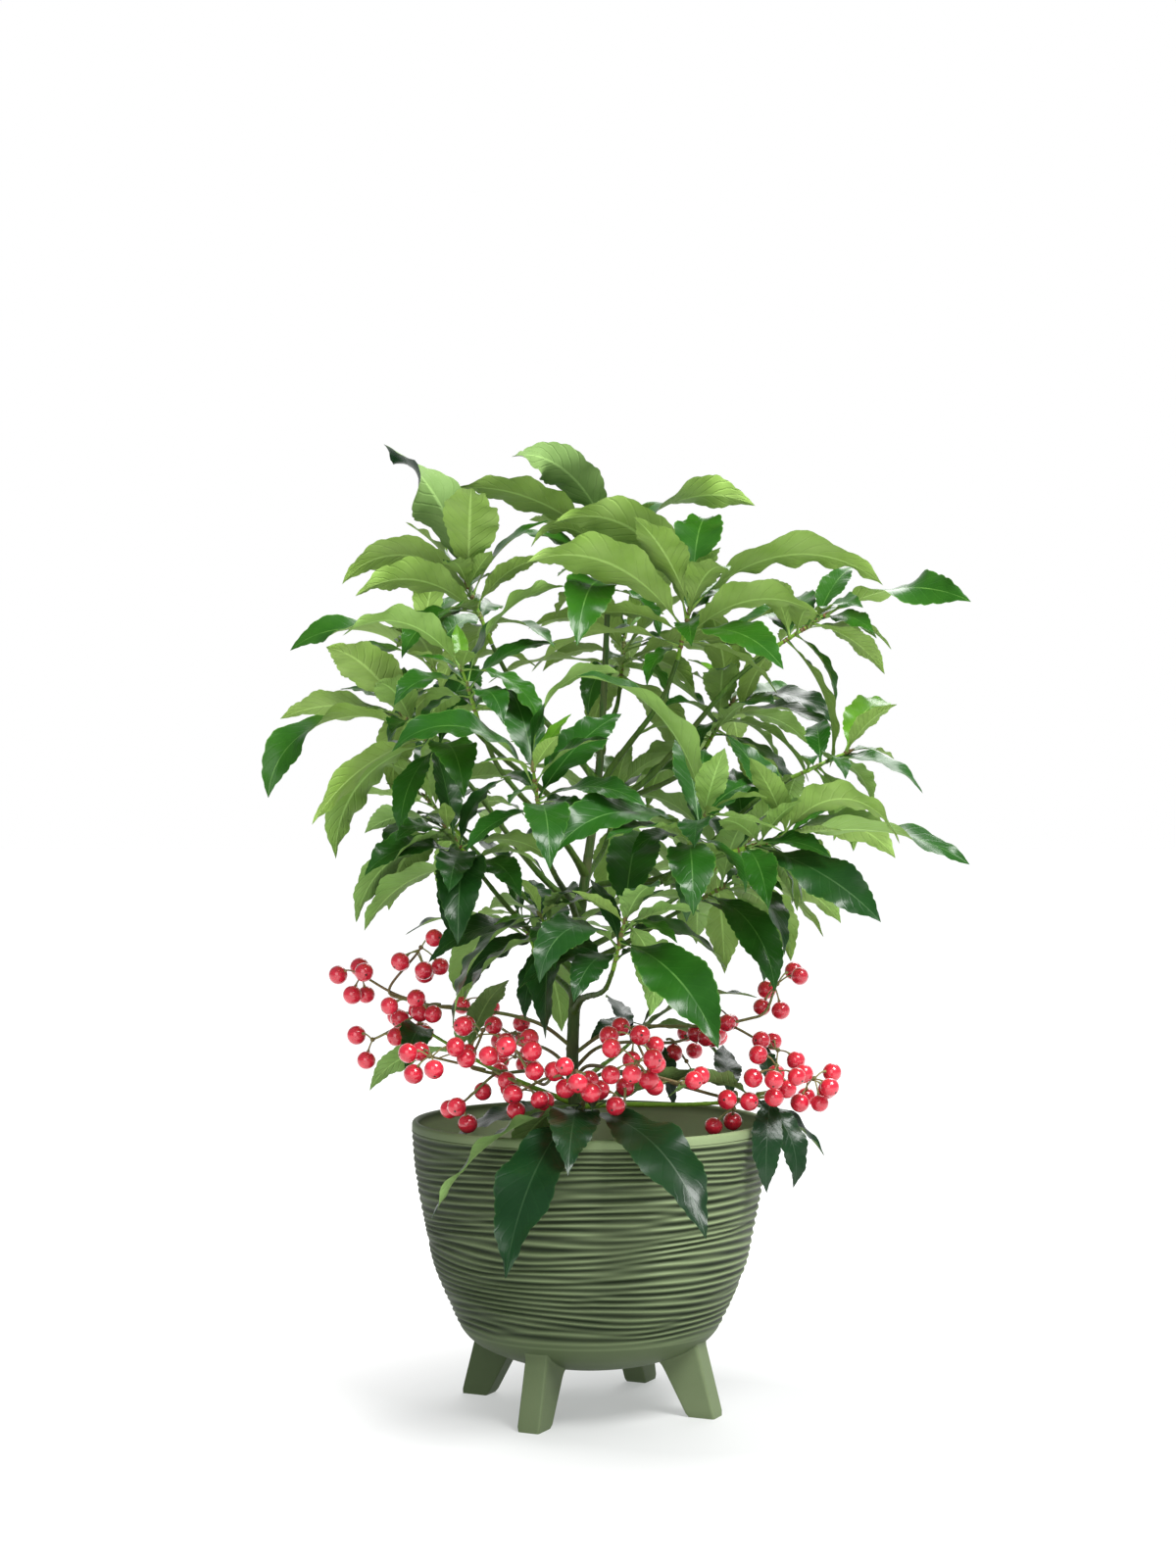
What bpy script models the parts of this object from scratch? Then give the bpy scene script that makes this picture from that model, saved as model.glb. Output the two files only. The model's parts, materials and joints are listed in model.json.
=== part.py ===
"""A potted ardisia: a small evergreen shrub with red berries, in a ribbed bowl on four legs.

The places and sizes below are in millimetres, measured from the pot's axis on the floor, with
x to the right and y away from the viewer. Meshes are made in metres.
"""
import math
import random
from collections import namedtuple

import bpy
import bmesh
import numpy as np
from mathutils import Vector
from mathutils.bvhtree import BVHTree

MM = 0.001
CLEAR = 0.3                # gap kept between pieces that meet

# Pot
RIM_TOP = 144.2
WALL = 3.2
LIP_HEIGHT = 5.0           # smooth lip above the first rib
RIB_LOW = 44.0             # ribs start here and end under the lip
RIB_COUNT = 9
RIB_RELIEF = 1.3
POT_STEPS = 24
POT_BOTTOM = 22.4
POT_FLOOR = 27.0           # inside
# outer wall without its ribs: radius, height
BOWL = [(27.0, 22.4), (39.8, 25.4), (49.7, 29.1), (58.7, 33.8), (65.3, 40.8), (71.3, 52.7),
        (76.8, 65.6), (80.0, 75.0), (83.3, 90.5), (88.0, 115.4), (90.0, 136.0), (90.0, 141.5)]
SOIL_LEVEL = 116.0
SOIL_DROP = 2.0            # the soil falls this much from the middle to the wall
SOIL_FLAT = 26.0

# Legs
LEG_AZIMUTH = -25.3        # the first; the others follow at right angles
LEG_OUTER = 70.6           # radius of the outer face on the floor
LEG_INNER = 55.8
LEG_WIDTH = 12.1
LEG_HEIGHT = 47.0          # before its top is cut to the bowl
LEG_OUTER_LEAN = 0.264     # inward per unit of height
LEG_INNER_LEAN = 0.56
LEG_EDGE = 0.9

# Trunk: its centre line (x, y, z) and its radius at the foot and the tip
TRUNK = [(-5, 0, SOIL_LEVEL + CLEAR), (-5, 0, 124), (-8, 0, 150), (-9, 1, 175), (-7, 2, 215),
         (-4, 1, 255), (1, -1, 290), (5, 0, 325), (7, 2, 360), (9, 1, 404)]
TRUNK_FOOT = 3.9
TRUNK_TIP = 1.5
FLARE = 3.6                # added to the radius at the soil
FLARE_HEIGHT = 9.0
TRUNK_RINGS = 22

# Boughs and the stems inside the sprays
BOUGH_ROOT = 1.9
BOUGH_TIP = 1.15
BOUGH_RINGS = 6
STEM_TIP = 0.7
STEM_RINGS = 6
BELOW_HUB = 24.0           # the stem starts this far under the middle of its whorl
ABOVE_HUB = 8.0

# Leaves
LEAF_SHAPE = (0.0, 0.17, 0.43, 0.73, 1.0)    # stations of the blade's sections
FILLING_SHAPE = (0.0, 0.24, 0.62, 1.0)       # the same, of a small leaf or an inner one
SMALL_LEAF = 61.0          # a leaf up to this length is small
BLADE_START = 0.08         # the petiole's share of the length
LOW_BROAD = 0.168          # half width as a share of length, lowest and highest whorl
HIGH_BROAD = 0.152
NO_TWIST = (0, 1)
LEAF_FOLD = 0.22           # rise of the edges as a share of half width
LEAF_THICK = 0.0125        # at the midrib, as a share of length
PETIOLE = 0.75             # half width of the root end
DROOP_POWER = 1.25
GOLDEN = 137.5
TWIST_RUN = 0.5            # a leaf turns over within this share of its length
OPEN_OLD = 86.0            # angle from the stem: oldest leaf, youngest leaf
OPEN_YOUNG = 34.0
OUTER_START = 0.1          # a leaf's outer part starts here
LEAF_AIR = 1.3             # air kept round a leaf, either side
OWN_AIR = 0.3              # the same among leaves of one spray
CROWN_MIDDLE = (12, 0, 325)
CROWN_REACH = (158, 150, 152)

# Berries
BERRY = 4.9                # radius
BERRY_WIDE = 1.1           # a ball of twenty faces is this much wider, to look as large
BERRY_AIR = 0.5
KNOT_STEP = 1.2            # the berries' stalks leave their ray this far apart
PEDICEL = 0.45             # radius
RAY = 0.6
RAY_RISE = 1.15              # the rays spread a little more upright than evenly
STALK_ROOT = 1.4

Spray = namedtuple("Spray", "name hub lean parent take_off leaves length phase")
SPRAYS = [
    Spray("top_centre", (10, 0, 430), 4, "trunk", 404, 8, 78, 200),
    Spray("top_left", (-58, -25, 405), 24, "trunk", 314, 8, 70, 10),
    Spray("top_right", (49, -30, 398), 16, "trunk", 308, 9, 78, 120),
    Spray("right_upper", (114, 10, 396), 58, "trunk", 300, 9, 66, 60),
    Spray("back_centre", (18, 66, 388), 26, "trunk", 330, 8, 74, 30),
    Spray("left_upper", (-86, 42, 381), 34, "trunk", 288, 7, 74, 80),
    Spray("left_front", (-60, -60, 362), 24, "trunk", 268, 6, 60, 0),
    Spray("right_back", (72, 58, 352), 38, "trunk", 294, 8, 72, 140),
    Spray("left_mid", (-87, -20, 341), 46, "trunk", 250, 9, 76, 300),
    Spray("front_left", (-26, -90, 313), 30, "trunk", 240, 6, 62, 230),
    Spray("right_tip", (121, -25, 326), 66, "front_right", 0.62, 3, 52, 90),
    Spray("back_low", (14, 84, 306), 48, "trunk", 262, 7, 74, 10),
    Spray("left_back", (-82, 58, 302), 50, "trunk", 236, 7, 72, 200),
    Spray("front_right", (52, -85, 293), 42, "trunk", 256, 7, 62, 20),
    Spray("right_front", (89, -60, 286), 74, "front_right", 0.88, 8, 66, 150),
    Spray("left_low", (-66, -40, 285), 42, "trunk", 218, 8, 66, 40),
    Spray("right_outer", (78, 52, 280), 56, "trunk", 228, 7, 70, 100),
    Spray("right_low", (66, -24, 262), 62, "trunk", 222, 7, 68, 160),
    Spray("left_inner", (-22, -32, 243), 48, "trunk", 226, 5, 72, 250),
    Spray("front_low", (15, -85, 242), 40, "trunk", 198, 7, 66, 190),
    Spray("back_inner", (-36, 70, 240), 56, "trunk", 206, 7, 70, 60),
    Spray("low_left", (-74, -8, 184), 58, "trunk", 152, 4, 56, 270),
    Spray("low_back", (26, 62, 182), 60, "trunk", 160, 5, 74, 20),
    Spray("low_right", (84, -22, 158), 70, "trunk", 150, 4, 52, 330),
    Spray("low_front", (-4, -62, 156), 66, "trunk", 140, 5, 90, 170),
]
# sprays whose own stem reaches the trunk, with no bough between
ON_TRUNK = ("top_centre", "left_inner", "low_left", "low_back", "low_right", "low_front")

# The place the sizes were measured from
EYE = np.array([-1.0, -1339.0, 299.3])

# The leaves that make the outline: how far the tip is seen across and above the whorl's middle,
# the leaf's length, its droop in degrees, its side of the whorl, and its roll, which is
# above nought where the underside turns to the viewer
NEAR, FAR = -1, 1
SHOWN = {
    "top_centre": [(-50, 50, 84, 78, NEAR, 35), (-79, 34, 92, 50, NEAR, 30),
                   (74, 25, 92, 85, FAR, -35), (-40, 4, 58, 135, NEAR, 30),
                   (-49, 11, 60, 60, FAR, -20)],
    "top_left": [(-1, 56, 88, 45, NEAR, 10), (-45, 78, 96, 55, NEAR, 15),
                 (-66, 8, 82, 118, NEAR, 45), (-59, 2, 74, 82, NEAR, 50),
                 (-34, 39, 72, 40, FAR, 20)],
    "top_right": [(10, 46, 78, 85, FAR, 0), (97, 14, 108, 92, NEAR, 28),
                  (-67, 45, 98, 105, NEAR, 45), (-81, 25, 104, 74, NEAR, 38),
                  (65, -1, 84, 76, NEAR, 32)],
    "right_upper": [(81, 11, 90, 51, NEAR, 40), (21, 29, 50, 40, FAR, -15),
                    (31, -5, 50, 60, NEAR, -30), (28, -13, 52, 50, FAR, 12),
                    (-2, 7, 46, 40, NEAR, 25), (-30, 5, 55, 60, FAR, -20)],
    "left_upper": [(20, 30, 52, 60, FAR, -10), (-71, 3, 92, 90, FAR, 35)],
    "left_front": [(-60, 23, 76, 88, NEAR, 22), (48, 47, 78, 70, FAR, 25),
                   (18, -20, 48, 90, NEAR, -15), (-19, -23, 56, 110, FAR, 30)],
    "left_mid": [(-45, 41, 84, 40, NEAR, 35), (-68, 5, 76, 50, FAR, 38),
                 (-77, -36, 98, 115, FAR, 30), (-52, -48, 82, 40, NEAR, 62),
                 (-40, -65, 88, 85, FAR, 20), (24, -35, 68, 90, NEAR, -10)],
    "front_left": [(40, 52, 78, 112, FAR, 30), (-13, 47, 60, 40, FAR, -10),
                   (-68, 15, 86, 113, NEAR, -35), (41, 33, 76, 30, FAR, -30),
                   (7, -41, 68, 95, NEAR, 0)],
    "right_tip": [(29, 27, 60, 70, FAR, -25), (48, -18, 64, 86, NEAR, -20)],
    "front_right": [(-59, 71, 104, 79, NEAR, -20), (12, 37, 48, 20, NEAR, 10),
                    (-12, 41, 58, 60, FAR, 20), (-70, -14, 88, 82, NEAR, -42),
                    (29, 20, 56, 60, FAR, -30), (-3, -43, 68, 95, NEAR, 0)],
    "right_front": [(-12, 40, 50, 30, NEAR, 15), (61, -2, 86, 115, NEAR, 42),
                    (59, -9, 80, 77, FAR, 42), (95, -12, 104, 50, FAR, 30),
                    (-27, 9, 46, 40, NEAR, 30), (52, -40, 84, 30, NEAR, -48),
                    (28, -9, 50, 50, NEAR, -30)],
    "left_low": [(-33, -34, 70, 80, FAR, 45), (-49, -40, 74, 80, FAR, 20),
                 (48, -10, 58, 60, FAR, 30), (1, -51, 76, 95, NEAR, 0),
                 (32, -28, 52, 70, NEAR, -25)],
    "right_low": [(59, -18, 72, 60, FAR, 30), (31, -34, 76, 90, NEAR, 35),
                  (34, -37, 78, 90, FAR, 20), (26, -52, 72, 75, NEAR, -25),
                  (19, -35, 56, 80, FAR, -25)],
    "left_inner": [(-46, -49, 88, 80, NEAR, 40), (-41, -38, 76, 60, NEAR, 35)],
    "front_low": [(10, 48, 82, 60, FAR, -5), (18, 22, 54, 60, NEAR, -15),
                  (50, -18, 80, 65, FAR, -35), (46, -55, 94, 50, NEAR, -35),
                  (-39, -24, 74, 125, NEAR, -30), (-23, -33, 54, 70, NEAR, -20)],
    "low_left": [(-19, -15, 54, 95, NEAR, -50), (-37, -25, 60, 80, FAR, 50)],
    "low_right": [(0, -44, 58, 85, NEAR, -40), (17, -44, 56, 90, NEAR, -30),
                  (33, -30, 58, 50, FAR, -20)],
    "low_front": [(-37, -82, 110, 55, NEAR, 0), (-73, -54, 106, 60, NEAR, 40),
                  (60, -63, 110, 70, NEAR, -20), (0, -47, 82, 70, NEAR, 15),
                  (-65, -17, 76, 50, FAR, -25)],
}
# leaves that turn over along their length: by how much, and from which share on
TWISTED = {("top_centre", 0): (150, 0.6), ("top_centre", 2): (95, 0.3),
           ("top_left", 1): (140, 0.6), ("right_upper", 0): (-100, 0.25),
           ("left_upper", 1): (-100, 0.35), ("left_mid", 2): (-110, 0.35),
           ("right_front", 3): (-85, 0.4)}

Cluster = namedtuple("Cluster", "name centre take_off berries rays spread phase")
CLUSTERS = [
    Cluster("left", (-98, -15, 207), 180, 16, 5, 27, 15),
    Cluster("front_left", (-56, -68, 176), 158, 12, 4, 24, 70),
    Cluster("front", (-25, -84, 171), 164, 10, 4, 25, 200),
    Cluster("front_right", (27, -76, 175), 162, 12, 4, 24, 120),
    Cluster("right_upper", (85, 8, 195), 176, 9, 3, 24, 40),
    Cluster("right", (93, -38, 160), 158, 12, 4, 24, 260),
    Cluster("back_left", (-46, 64, 184), 164, 7, 3, 23, 150),
    Cluster("back_right", (60, 66, 182), 168, 7, 3, 23, 310),
]

Leaf = namedtuple("Leaf", "root azimuth rise length droop roll twist broad stations")


def material(name, colour, roughness):
    """A plain Principled material."""
    made = bpy.data.materials.new(name)
    made.use_nodes = True
    shader = made.node_tree.nodes["Principled BSDF"]
    shader.inputs["Base Color"].default_value = (*colour, 1.0)
    shader.inputs["Roughness"].default_value = roughness
    shader.inputs["Metallic"].default_value = 0.0
    made.diffuse_color = (*colour, 1.0)
    return made


def mesh_object(name, mesh, collection, finish):
    """An object for a mesh, in a collection, with its material."""
    made = bpy.data.objects.new(name, mesh)
    collection.objects.link(made)
    made.data.materials.clear()
    made.data.materials.append(finish)
    return made


def as_cutter(made):
    """Mark an object as a helper that shows only as wires."""
    made.hide_render = True
    made.display_type = "WIRE"
    return made


def drop(made):
    """Take an object and its data out of the file."""
    data = made.data
    bpy.data.objects.remove(made, do_unlink=True)
    if isinstance(data, bpy.types.Mesh):
        bpy.data.meshes.remove(data)
    elif isinstance(data, bpy.types.Curve):
        bpy.data.curves.remove(data)


def baked(made, weld=True):
    """The evaluated mesh of an object; a curve's loose caps are welded and turned outward."""
    depsgraph = bpy.context.evaluated_depsgraph_get()
    mesh = bpy.data.meshes.new_from_object(made.evaluated_get(depsgraph))
    mesh.transform(made.matrix_world)
    if not weld:
        return mesh
    work = bmesh.new()
    work.from_mesh(mesh)
    bmesh.ops.remove_doubles(work, verts=work.verts, dist=0.00001)
    bmesh.ops.recalc_face_normals(work, faces=work.faces)
    work.to_mesh(mesh)
    work.free()
    return mesh


def main_shell(mesh):
    """Keep the largest connected shell: sealed hollows are filled and loose scraps dropped."""
    work = bmesh.new()
    work.from_mesh(mesh)
    shells = []
    left = set(work.verts)
    while left:
        shell = [left.pop()]
        for corner in shell:
            for edge in corner.link_edges:
                other = edge.other_vert(corner)
                if other in left:
                    left.remove(other)
                    shell.append(other)
        shells.append(shell)
    shells.sort(key=len)
    for shell in shells[:-1]:
        bmesh.ops.delete(work, geom=shell, context="VERTS")
    work.to_mesh(mesh)
    work.free()


# The pot and what fills it

def bowl_radius(height):
    """Radius of the outer wall, without ribs, at a height."""
    return float(np.interp(height, [z for r, z in BOWL], [r for r, z in BOWL]))


def rib_profile():
    """The outer wall from under the lip down to the smooth foot, crest and valley by turns."""
    top = RIM_TOP - LIP_HEIGHT
    pitch = (top - RIB_LOW) / RIB_COUNT
    points = []
    for rib in range(RIB_COUNT):
        valley = top - rib * pitch
        crest = valley - pitch / 2
        points.append((bowl_radius(valley) - RIB_RELIEF, valley))
        points.append((bowl_radius(crest), crest))
    points.append((bowl_radius(RIB_LOW) - RIB_RELIEF / 2, RIB_LOW))
    return points


def pot_profile():
    """Half section of the pot: up the inner wall, over the lip, down the outer wall."""
    inner = [(0.0, POT_FLOOR), (32.0, POT_FLOOR), (52.0, 34.5), (66.0, 51.0)]
    inner += [(bowl_radius(z) - WALL, z) for z in (65.6, 90.5, SOIL_LEVEL - 2, 134.0)]
    lip = [(86.4, 141.0), (87.2, 143.6), (88.3, RIM_TOP), (89.5, 143.6), (90.0, 142.0),
           (90.0, RIM_TOP - LIP_HEIGHT + 1.6)]
    foot = [(r, z) for r, z in reversed(BOWL) if z < RIB_LOW]
    return inner + lip + rib_profile() + foot + [(0.0, POT_BOTTOM)]


def turned(name, profile, collection, finish):
    """A half section turned once round the z axis with a Screw modifier."""
    mesh = bpy.data.meshes.new(name)
    points = [(r * MM, 0.0, z * MM) for r, z in profile]
    mesh.from_pydata(points, [(i, i + 1) for i in range(len(points) - 1)], [])
    made = mesh_object(name, mesh, collection, finish)
    screw = made.modifiers.new("turn", "SCREW")
    screw.steps = POT_STEPS
    screw.render_steps = POT_STEPS
    screw.use_merge_vertices = True
    screw.merge_threshold = 0.00001
    screw.use_smooth_shade = True
    return made


def soil_profile():
    """Half section of the soil, flat round the trunk, a hair clear of the pot's inner wall."""
    level = [(0.0, SOIL_LEVEL), (SOIL_FLAT, SOIL_LEVEL), (60.0, SOIL_LEVEL - SOIL_DROP / 2)]
    edge = SOIL_LEVEL - SOIL_DROP
    wall = [(bowl_radius(z) - WALL - CLEAR * 1.2, z) for z in (edge, 90.5, 65.6)]
    low = [(65.5, 51.4), (51.6, 35.0), (31.8, POT_FLOOR + CLEAR), (0.0, POT_FLOOR + CLEAR)]
    return level + wall + low


def leg(index, collection, cutter, finish):
    """One splayed leg: a box whose faces lean in, cut on top to the bowl's underside."""
    mesh = bpy.data.meshes.new("leg")
    work = bmesh.new()
    bmesh.ops.create_cube(work, size=1.0)
    for corner in work.verts:
        height = LEG_HEIGHT if corner.co.z > 0 else 0.0
        if corner.co.x > 0:
            radius = LEG_OUTER - LEG_OUTER_LEAN * height
        else:
            radius = LEG_INNER - LEG_INNER_LEAN * height
        side = math.copysign(LEG_WIDTH / 2, corner.co.y)
        corner.co = Vector((radius, side, height)) * MM
    work.to_mesh(mesh)
    work.free()
    made = mesh_object("leg_%d" % (index + 1), mesh, collection, finish)
    made.rotation_euler.z = math.radians(LEG_AZIMUTH + 90 * index)
    edges = made.modifiers.new("edges", "BEVEL")
    edges.width = LEG_EDGE * MM
    edges.segments = 1
    edges.limit_method = "ANGLE"
    cut = made.modifiers.new("cut", "BOOLEAN")
    cut.operation = "DIFFERENCE"
    cut.object = cutter
    return made


def bowl_cutter(collection, finish):
    """The bowl's outside, a hair larger, which the legs' tops are cut with."""
    outside = [(0.0, 70.0)]
    outside += [(r + CLEAR, z - CLEAR) for r, z in reversed(BOWL) if z < 70.0]
    outside += [(0.0, POT_BOTTOM - CLEAR)]
    return as_cutter(turned("bowl_cutter", outside, collection, finish))


# Limbs

def smooth_path(points, rings):
    """A smooth line through the points (Catmull-Rom), as evenly numbered places."""
    points = np.array(points, float)
    ends = np.vstack([2 * points[0] - points[1], points, 2 * points[-1] - points[-2]])
    t = np.linspace(0, len(points) - 1, rings)
    i = np.minimum(t.astype(int), len(points) - 2)
    u = (t - i)[:, None]
    a, b, c, d = ends[i], ends[i + 1], ends[i + 2], ends[i + 3]
    return 0.5 * (2 * b + (c - a) * u + (2 * a - 5 * b + 4 * c - d) * u ** 2
                  + (3 * b - a - 3 * c + d) * u ** 3)


def trunk_path():
    """The trunk's centre line and radii; it starts straight up, so its cut is flat."""
    path = smooth_path(TRUNK, TRUNK_RINGS)
    path[0] = TRUNK[0]
    path[1, :2] = TRUNK[0][:2]
    height = path[:, 2] - TRUNK[0][2]
    share = height / height[-1]
    radii = TRUNK_FOOT + (TRUNK_TIP - TRUNK_FOOT) * share ** 0.85
    return path, radii + FLARE * np.exp(-height / FLARE_HEIGHT * 1.6)


def on_path(path, radii, height):
    """Centre and radius of the trunk at a height."""
    place = np.array([np.interp(height, path[:, 2], path[:, k]) for k in range(3)])
    return place, float(np.interp(height, path[:, 2], radii))


def heading(azimuth, rise):
    """Unit vector from an azimuth and a rise in degrees."""
    a, e = math.radians(azimuth), math.radians(rise)
    return np.array([math.cos(e) * math.cos(a), math.cos(e) * math.sin(a), math.sin(e)])


def bow(start, way, end, arrive, rings):
    """A cubic bow from start along way to end, arriving along arrive."""
    pull = np.linalg.norm(end - start) * 0.36
    t = np.linspace(0, 1, rings)[:, None]
    near, far = start + way * pull, end - arrive * pull
    return ((1 - t) ** 3 * start + 3 * (1 - t) ** 2 * t * near
            + 3 * (1 - t) * t ** 2 * far + t ** 3 * end)


def line(start, end):
    """Even places from start to end, one for each ring of a stem."""
    return start + (end - start) * np.linspace(0, 1, STEM_RINGS)[:, None]


def limb_plan():
    """Path and radii of each bough and stem, by name, worked out from the sprays' table."""
    trunk, girth = trunk_path()
    limbs = {"trunk": (trunk, girth)}
    stems = {}
    for spray in sorted(SPRAYS, key=lambda s: s.parent != "trunk"):
        hub = np.array(spray.hub, float)
        if spray.parent == "trunk":
            start = on_path(trunk, girth, spray.take_off)[0]
        else:
            path = limbs[spray.parent][0]
            place = spray.take_off * (len(path) - 1)
            start = path[int(place)]
        out = hub - start
        azimuth = math.degrees(math.atan2(out[1], out[0]))
        axis = heading(azimuth, 90 - spray.lean)
        foot, tip = hub - axis * BELOW_HUB, hub + axis * ABOVE_HUB
        leave = heading(azimuth, max(90 - spray.lean - 12, 8))
        if spray.name == "top_centre":
            start = trunk[-1]
            way = (trunk[-1] - trunk[-2]) / np.linalg.norm(trunk[-1] - trunk[-2])
            stems[spray.name] = (line(start + way * CLEAR, tip),
                                 np.linspace(TRUNK_TIP, STEM_TIP, STEM_RINGS))
        elif spray.name in ON_TRUNK:
            path = bow(start, leave, tip, axis, BOUGH_RINGS)
            stems[spray.name] = (path, np.linspace(BOUGH_ROOT * 0.8, STEM_TIP, BOUGH_RINGS))
        else:
            path = bow(start, leave, foot, axis, BOUGH_RINGS)
            limbs[spray.name] = (path, np.linspace(BOUGH_ROOT, BOUGH_TIP, BOUGH_RINGS))
            stems[spray.name] = (line(foot + axis * CLEAR, tip),
                                 np.linspace(BOUGH_TIP, STEM_TIP, STEM_RINGS))
    return limbs, stems


def tube_object(name, path, radii, collection, finish, sides):
    """A tapering limb: a poly curve with a bevel, made a mesh."""
    curve = bpy.data.curves.new(name, "CURVE")
    curve.dimensions = "3D"
    curve.use_fill_caps = True
    spline = curve.splines.new("POLY")
    spline.points.add(len(path) - 1)
    for point, place, radius in zip(spline.points, path, radii):
        point.co = (*(place * MM), 1.0)
        point.radius = radius
    profile = None
    if sides == 3:
        ring = bpy.data.curves.new("triangle", "CURVE")
        corners = ring.splines.new("POLY")
        corners.points.add(2)
        corners.use_cyclic_u = True
        for k, corner in enumerate(corners.points):
            turn = 2 * math.pi * k / 3
            corner.co = (MM * math.cos(turn), MM * math.sin(turn), 0.0, 1.0)
        profile = bpy.data.objects.new("triangle", ring)
        collection.objects.link(profile)
        curve.bevel_mode = "OBJECT"
        curve.bevel_object = profile
    else:
        curve.bevel_depth = MM
        curve.bevel_resolution = sides // 2 - 2
    guide = bpy.data.objects.new(name + "_line", curve)
    collection.objects.link(guide)
    bpy.context.view_layer.update()
    made = mesh_object(name, baked(guide), collection, finish)
    drop(guide)
    if profile:
        drop(profile)
    return made


def tube_faces(path, radii, sides=6):
    """Points and faces of an open tube along a path, for testing what it touches."""
    along = np.gradient(path, axis=0)
    along /= np.linalg.norm(along, axis=1)[:, None]
    side = np.cross(along, (0.3, 0.2, 0.93))
    side /= np.linalg.norm(side, axis=1)[:, None]
    up = np.cross(side, along)
    turn = np.linspace(0, 2 * math.pi, sides, endpoint=False)
    ring = np.cos(turn)[None, :, None] * side[:, None] + np.sin(turn)[None, :, None] * up[:, None]
    points = (path[:, None] + ring * np.asarray(radii)[:, None, None]).reshape(-1, 3)
    faces = []
    for i in range(len(path) - 1):
        for k in range(sides):
            n = (k + 1) % sides
            faces.append((i * sides + k, i * sides + n, (i + 1) * sides + n, (i + 1) * sides + k))
    return points, faces


# Leaves

def half_width(leaf, s):
    """Half the blade's width at a share of its length: narrow root, widest at the middle."""
    s = np.asarray(s, float)
    u = np.clip((s - BLADE_START) / (1 - BLADE_START), 0, 1)
    blade = leaf.broad * leaf.length * np.sin(np.pi * u ** 0.92) ** 1.1
    return np.maximum(blade, PETIOLE * (1 - s))


def midrib(leaf, s):
    """Places, sides and normals along the midrib, which bends down more and more."""
    steps = np.linspace(0, 1, 25)
    rise = np.radians(leaf.rise - leaf.droop * steps ** DROOP_POWER)
    turn = math.radians(leaf.azimuth)
    flat = np.cos(rise)
    way = np.stack([flat * math.cos(turn), flat * math.sin(turn), np.sin(rise)], axis=1)
    run = np.zeros_like(way)
    run[1:] = np.cumsum((way[1:] + way[:-1]) / 2, axis=0) * leaf.length / (len(steps) - 1)
    s = np.asarray(s, float)
    place = np.stack([np.interp(s, steps, run[:, k]) for k in range(3)], axis=1)
    ahead = np.stack([np.interp(s, steps, way[:, k]) for k in range(3)], axis=1)
    ahead /= np.linalg.norm(ahead, axis=1)[:, None]
    level = np.array([math.sin(turn), -math.cos(turn), 0.0])
    above = np.cross(level, ahead)
    tilt = math.radians(leaf.roll) * np.sin(np.pi * np.clip(s, 0, 1) / 2)
    turned_over = np.clip((s - leaf.twist[1]) / TWIST_RUN, 0, 1) ** 1.3
    tilt = (tilt + math.radians(leaf.twist[0]) * turned_over)[:, None]
    side = np.cos(tilt) * level + np.sin(tilt) * above
    return np.asarray(leaf.root) + place, side, np.cross(side, ahead)


def leaf_solid(leaf, first=0.0, more=0.0):
    """Points and faces of a thin folded blade: an edge, the top, an edge and the keel each."""
    s = np.array((first,) + leaf.stations[1:])
    place, side, normal = midrib(leaf, s)
    wide = (half_width(leaf, s) + more * 0.5)[:, None]
    thick = LEAF_THICK * leaf.length / 2 * np.clip(1.5 - s, 0.6, 1.0)
    thick = (np.minimum(thick, wide[:, 0]) + more)[:, None]
    edge = normal * wide * LEAF_FOLD
    rings = [place - side * wide + edge, place + normal * thick,
             place + side * wide + edge, place - normal * thick]
    count = len(s) - 1
    points = np.stack([ring[:count] for ring in rings], axis=1).reshape(-1, 3)
    points = np.vstack([points, place[-1:]])
    faces = [(3, 2, 1), (3, 1, 0)]
    for i in range(0, (count - 1) * 4, 4):
        for rib, edge, flip in ((1, 0, 1), (1, 2, 0), (3, 0, 0), (3, 2, 1)):
            near = [(i + rib, i + edge, i + edge + 4), (i + rib, i + edge + 4, i + rib + 4)]
            faces += [face[::-1] if flip else face for face in near]
    last = (count - 1) * 4
    for k in range(4):
        faces.append((last + k, last + (k + 1) % 4, last + 4))
    return points, faces


class Space:
    """What already stands in the plant's space, to keep every new piece clear of it.

    Pieces of one spray or cluster meet at their roots, so among themselves they are tested
    by their outer parts only, which are kept under the owner's own name.
    """

    def __init__(self):
        self.solids = []

    def add(self, owner, solid, outer=False):
        points, faces = solid
        tree = BVHTree.FromPolygons([tuple(p) for p in points], faces)
        self.solids.append((owner, outer, points.min(axis=0), points.max(axis=0), tree))

    def clear(self, solid, own=None, outer=False):
        points, faces = solid
        low, high = points.min(axis=0), points.max(axis=0)
        tree = None
        for owner, is_outer, least, most, other in self.solids:
            if is_outer != outer or (owner == own) != outer:
                continue
            if (least > high).any() or (most < low).any():
                continue
            tree = tree or BVHTree.FromPolygons([tuple(p) for p in points], faces)
            if tree.overlap(other):
                return False
        return True


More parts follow.
